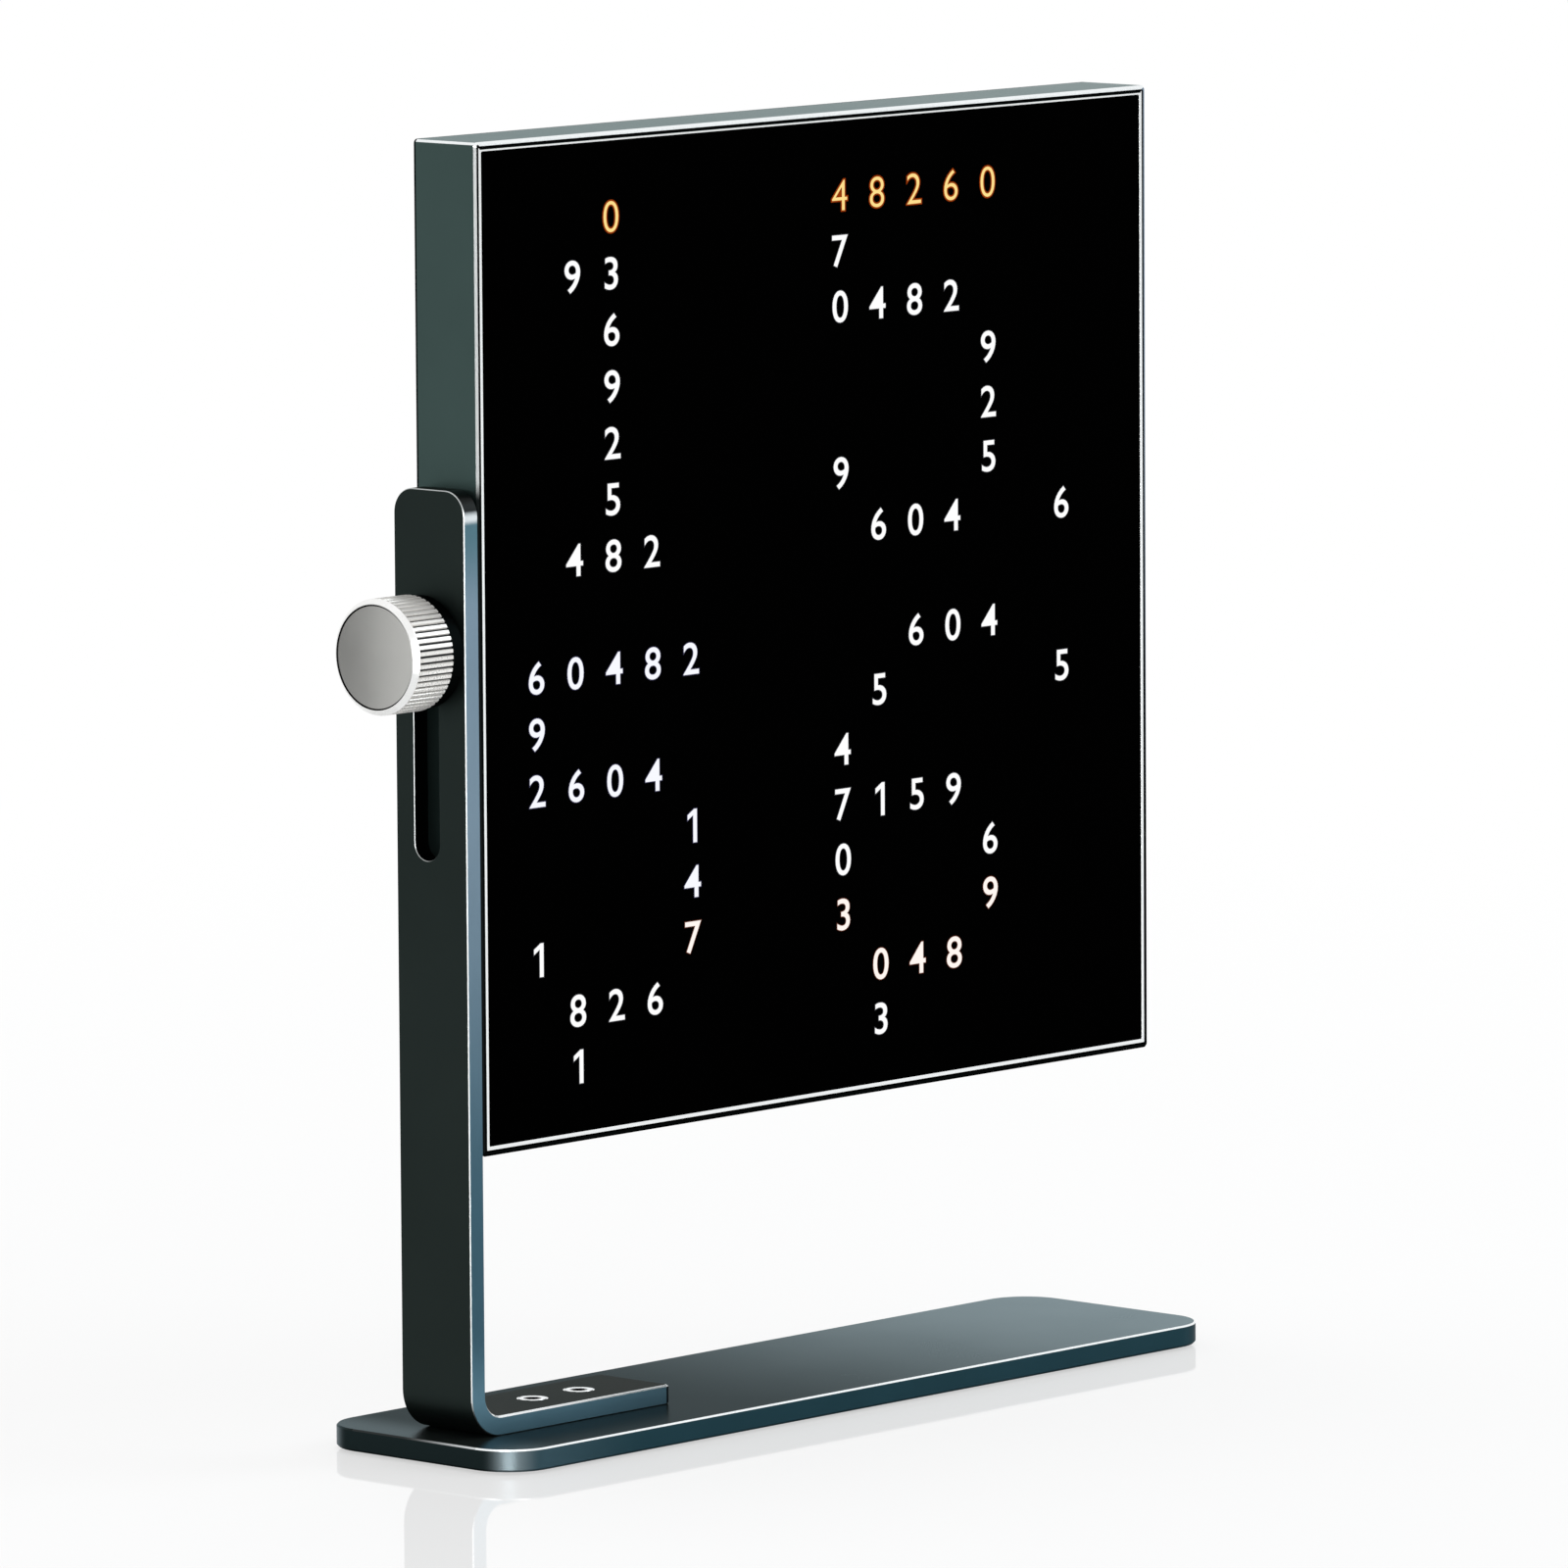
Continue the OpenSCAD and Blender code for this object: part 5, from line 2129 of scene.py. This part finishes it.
@dataclass
class Display:
    """Framed square display with its numeral matrix, rear cover and power socket."""

    front_cut: float = 0.4 * MM
    side_corner: float = 0.8 * MM
    back_cut: float = 0.3 * MM
    back_line: float = 0.7 * MM
    pocket_gap: float = 0.1 * MM
    pocket_corner: float = 0.4 * MM
    ledge: float = 2.8 * MM
    ledge_thickness: float = 1.0 * MM
    trim_break: float = 0.24 * MM
    trim_shade: float = 0.30 * MM
    trim_roll: float = 0.05 * MM
    glass_corner: float = 0.3 * MM
    glass_gap: float = 0.02 * MM
    glass_break: float = 0.12 * MM
    numerals: NumeralMatrix = field(default_factory=NumeralMatrix)
    rear: RearCover = field(default_factory=RearCover)
    socket: PowerSocket = field(default_factory=PowerSocket)

    def build(self) -> None:
        """Builds the outside and dresses the inside."""
        self.frame_ring()
        self.trim_ring()
        self.glass()
        self.numerals.build(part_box("front_glass")[0].y)
        self.rear.build()
        self.socket.build()
        self.inside()

    def frame_ring(self) -> None:
        """Builds the frame: cut front edge, pocket for trim and glass, ledge and open back."""
        low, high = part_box("display_frame")
        outer = front_outline("display_frame", self.side_corner)
        pocket = front_outline("trim_ring", self.pocket_corner).grown(self.pocket_gap)
        cavity = front_outline("rear_cover", self.pocket_corner).grown(self.pocket_gap)
        window = pocket.grown(-self.ledge)
        ledge_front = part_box("trim_ring")[1].y
        ledge_back = ledge_front + self.ledge_thickness
        # Painted light: a painted dark line along the back edge, a painted bright line along the rounded depth corners,
        # painted shade on the lower chamfer, on the left chamfer and on the lip, a painted highlight along the lip's
        # top, and a black pocket wall.
        cut_runs = dict.fromkeys((Run.LOWER_LEFT, Run.BOTTOM, Run.LOWER_RIGHT), FrameSkin.SHADOW)
        cut_runs[Run.LEFT] = FrameSkin.SHADED_CUT
        lip_runs = dict.fromkeys((Run.UPPER_RIGHT, Run.RIGHT), FrameSkin.SHADED_LIP)
        lip_runs[Run.TOP] = FrameSkin.BRIGHT
        layers = [
            Layer(outer.grown(-self.back_cut), high.y),
            Layer(outer, high.y - self.back_cut, FrameSkin.SHADOW),
            Layer(outer, high.y - self.back_line, FrameSkin.SHADOW),
            Layer(outer, low.y + self.front_cut, corner_skin=FrameSkin.BRIGHT),
            Layer(outer.grown(-self.front_cut), low.y, FrameSkin.BRIGHT, run_skins=cut_runs),
            Layer(pocket, low.y, FrameSkin.SHADOW, run_skins=lip_runs),
            Layer(pocket, ledge_front, FrameSkin.SHADOW),
            Layer(window, ledge_front),
            Layer(window, ledge_back),
            Layer(cavity, ledge_back),
            Layer(cavity, high.y),
        ]
        shell = Shell()
        shell.stack(layers, Facing.FRONT, front_middle("display_frame"), looped=True)
        piece = shell.piece("frame_ring", [SLATE_FRAME, CUT_EDGE, PAINTED_SHADE, SHADED_EDGE, SHADED_LIP])
        cut_out(piece, self.socket.cutter(low.z))
        stand_for(piece, "display", "slate_frame", "display_frame")

    def trim_ring(self) -> None:
        """Builds the bright ring round the glass."""
        low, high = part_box("trim_ring")
        outer = front_outline("trim_ring", self.pocket_corner)
        inner = front_outline("front_glass", self.glass_corner).grown(self.glass_gap)
        broken = self.trim_break
        # Painted shade: the ring's outer side and break, the outer part of its top run and its inner wall on the right
        # are black.
        layers = [
            Layer(outer, high.y),
            Layer(outer, low.y + broken, TrimSkin.SHADOW),
            Layer(outer.grown(-broken), low.y, TrimSkin.SHADOW),
            Layer(outer.grown(-broken - self.trim_shade), low.y, run_skins={Run.TOP: TrimSkin.SHADOW}),
            Layer(inner.grown(self.trim_roll), low.y),
            Layer(inner, low.y + self.trim_roll),
            Layer(inner, high.y, run_skins={Run.RIGHT: TrimSkin.SHADOW}),
        ]
        shell = Shell()
        shell.stack(layers, Facing.FRONT, front_middle("display_frame"), looped=True)
        stand_for(shell.piece("bright_ring", [TRIM, PAINTED_SHADE]), "display", "bright_trim", "trim_ring")

    def glass(self) -> None:
        """Builds the glass with its ground edge."""
        low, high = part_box("front_glass")
        edge = front_outline("front_glass", self.glass_corner)
        ground = self.glass_break
        # Painted highlight: the ground edge is bright polished trim on the left side only, black glass elsewhere.
        layers = [
            Layer(edge, high.y),
            Layer(edge, low.y + ground),
            Layer(edge.grown(-ground), low.y, run_skins={Run.LEFT: GlassSkin.GROUND}),
        ]
        shell = Shell()
        shell.stack(layers, Facing.FRONT, front_middle("display_frame"))
        stand_for(shell.piece("glass", [GLASS, TRIM]), "display", "black_glass", "front_glass")

    def inside(self) -> None:
        """Dresses what lies behind the glass and the cover."""
        dress(FILM, "numeral_film")
        dress(DIFFUSER, "diffuser_sheet")
        dress(BAFFLE, "baffle_grid")
        dress(BOARD, "led_board", "control_board")
        dress(PACKAGE, "led_chips")
        dress(BRASS, "clamp_block", "link_pins")
        dress(STEEL, "clamp_block_screws", "control_board_screws")
        dress(CHIP, "processor_chip", "clock_chip")
        dress(CAN_STEEL, "clock_crystal", "coin_cell")
        dress(SWITCH, "cell_holder", "usb_tongue", "tact_switches")
        dress(PLUNGER, "set_plunger", "plus_plunger", "minus_plunger")


# Studio


@dataclass(frozen=True)
class Softbox:
    """A square area light that faces a point."""

    name: str
    place: tuple[float, float, float]
    side: float
    watts: float
    tint: Colour = (1.0, 1.0, 1.0)

    def hang(self, target: Vector) -> None:
        """Hangs the light.

        Args:
            target: The point that it faces.
        """
        lamp = bpy.data.lights.new(self.name, "AREA")
        lamp.shape = "SQUARE"
        lamp.size = self.side
        lamp.energy = self.watts
        lamp.color = self.tint
        made = bpy.data.objects.new(self.name, lamp)
        made.location = self.place
        made.rotation_euler = (target - Vector(self.place)).to_track_quat("-Z", "Y").to_euler()
        bpy.context.scene.collection.objects.link(made)


@dataclass
class Studio:
    """Pale floor, soft light and the photograph's camera."""

    camera_place: tuple[float, float, float] = (-1.76656, -1.61606, 0.40661)
    camera_target: tuple[float, float, float] = (0.04378, 0.03698, 0.10442)
    camera_roll: float = -0.0061
    lens: float = 307.6
    sensor: float = 36.0
    floor_side: float = 40.0
    floor_tint: Colour = (0.95, 0.95, 0.95)
    floor_unevenness: float = 0.01
    floor_cloud: float = 0.4
    floor_roughness: float = 0.03
    floor_haze: float = 0.02
    floor_lift: float = 0.57
    lift_from: float = 0.15
    white_from: float = 0.9
    ambient: float = 0.55
    softboxes: tuple[Softbox, ...] = (
        Softbox("key softbox", (1.5, -1.35, 1.1), 1.2, 14.0, (0.86, 0.95, 1.0)),
        Softbox("camera softbox", (-2.05, -1.75, 0.45), 0.7, 14.0),
        Softbox("top softbox", (0.2, 0.3, 2.2), 1.4, 17.0),
    )

    def build(self) -> None:
        """Sets up floor, light, world and camera."""
        self.floor()
        self.world()
        self.camera()
        for softbox in self.softboxes:
            softbox.hang(Vector(self.camera_target))
        bpy.context.scene.view_settings.view_transform = "Standard"

    def floor(self) -> None:
        """Lays the floor: pale, a little glossy, lifted towards white where the camera sees it."""
        sheet = FinishSheet("pale floor")
        cloud = sheet.noise(self.floor_cloud, detail=2.0)
        darker = shade(self.floor_tint, 1 - self.floor_unevenness)
        sheet.paint(
            {
                "Base Color": sheet.blend(cloud, darker, self.floor_tint),
                "Roughness": self.floor_roughness + self.floor_haze * cloud,
            }
        )
        white = sheet.node("ShaderNodeEmission", sockets={"Color": (1.0, 1.0, 1.0), "Strength": 1.0})
        seen = sheet.node("ShaderNodeLightPath", output="Is Camera Ray")
        away = sheet.node("ShaderNodeVectorMath", {"operation": "LENGTH"}, {0: sheet.place()}, output="Value")
        lift = self.floor_lift + (1 - self.floor_lift) * away.ramp(self.lift_from, self.white_from)
        lit = Value(sheet, sheet.shader.outputs[0])
        mixed = sheet.node("ShaderNodeMixShader", sockets={0: lift * seen, 1: lit, 2: white})
        sheet.feed(sheet.output.inputs[0], mixed)
        half = self.floor_side / 2
        data = bpy.data.meshes.new("floor")
        data.from_pydata([(-half, -half, 0), (half, -half, 0), (half, half, 0), (-half, half, 0)], [], [(0, 1, 2, 3)])
        data.materials.append(sheet.material)
        made = bpy.data.objects.new("floor", data)
        bpy.context.scene.collection.objects.link(made)

    def world(self) -> None:
        """Gives soft light all round, and white where it is seen directly or in a reflection."""
        world = bpy.data.worlds.new("studio")
        world.use_nodes = True
        bpy.context.scene.world = world
        sheet = NodeSheet(world.node_tree)
        camera, glossy, through = (
            sheet.node("ShaderNodeLightPath", output=name)
            for name in ("Is Camera Ray", "Is Glossy Ray", "Is Transmission Ray")
        )
        soft = sheet.node("ShaderNodeBackground", sockets={"Color": (1.0, 1.0, 1.0), "Strength": self.ambient})
        white = sheet.node("ShaderNodeBackground", sockets={"Color": (1.0, 1.0, 1.0), "Strength": 1.0})
        seen = camera.larger(glossy).larger(through)
        mixed = sheet.node("ShaderNodeMixShader", sockets={0: seen, 1: soft, 2: white})
        sheet.feed(sheet.tree.nodes.new("ShaderNodeOutputWorld").inputs[0], mixed)

    def camera(self) -> None:
        """Places the camera as in the photograph."""
        data = bpy.data.cameras.new("camera")
        data.lens = self.lens
        data.sensor_width = self.sensor
        made = bpy.data.objects.new("camera", data)
        made.location = self.camera_place
        view = Vector(self.camera_target) - Vector(self.camera_place)
        turn = view.to_track_quat("-Z", "Y") @ Quaternion((0.0, 0.0, 1.0), self.camera_roll)
        made.rotation_euler = turn.to_euler()
        bpy.context.scene.collection.objects.link(made)
        bpy.context.scene.camera = made


def main() -> None:
    """Builds the studio and the clock's sub-assemblies in order."""
    logging.basicConfig(level=logging.INFO, format="%(name)s %(message)s")
    for assembly in (Studio(), Stand(), Clamp(), Display()):
        LOG.info("building %s", type(assembly).__name__)
        assembly.build()


if __name__ == "__main__":
    main()
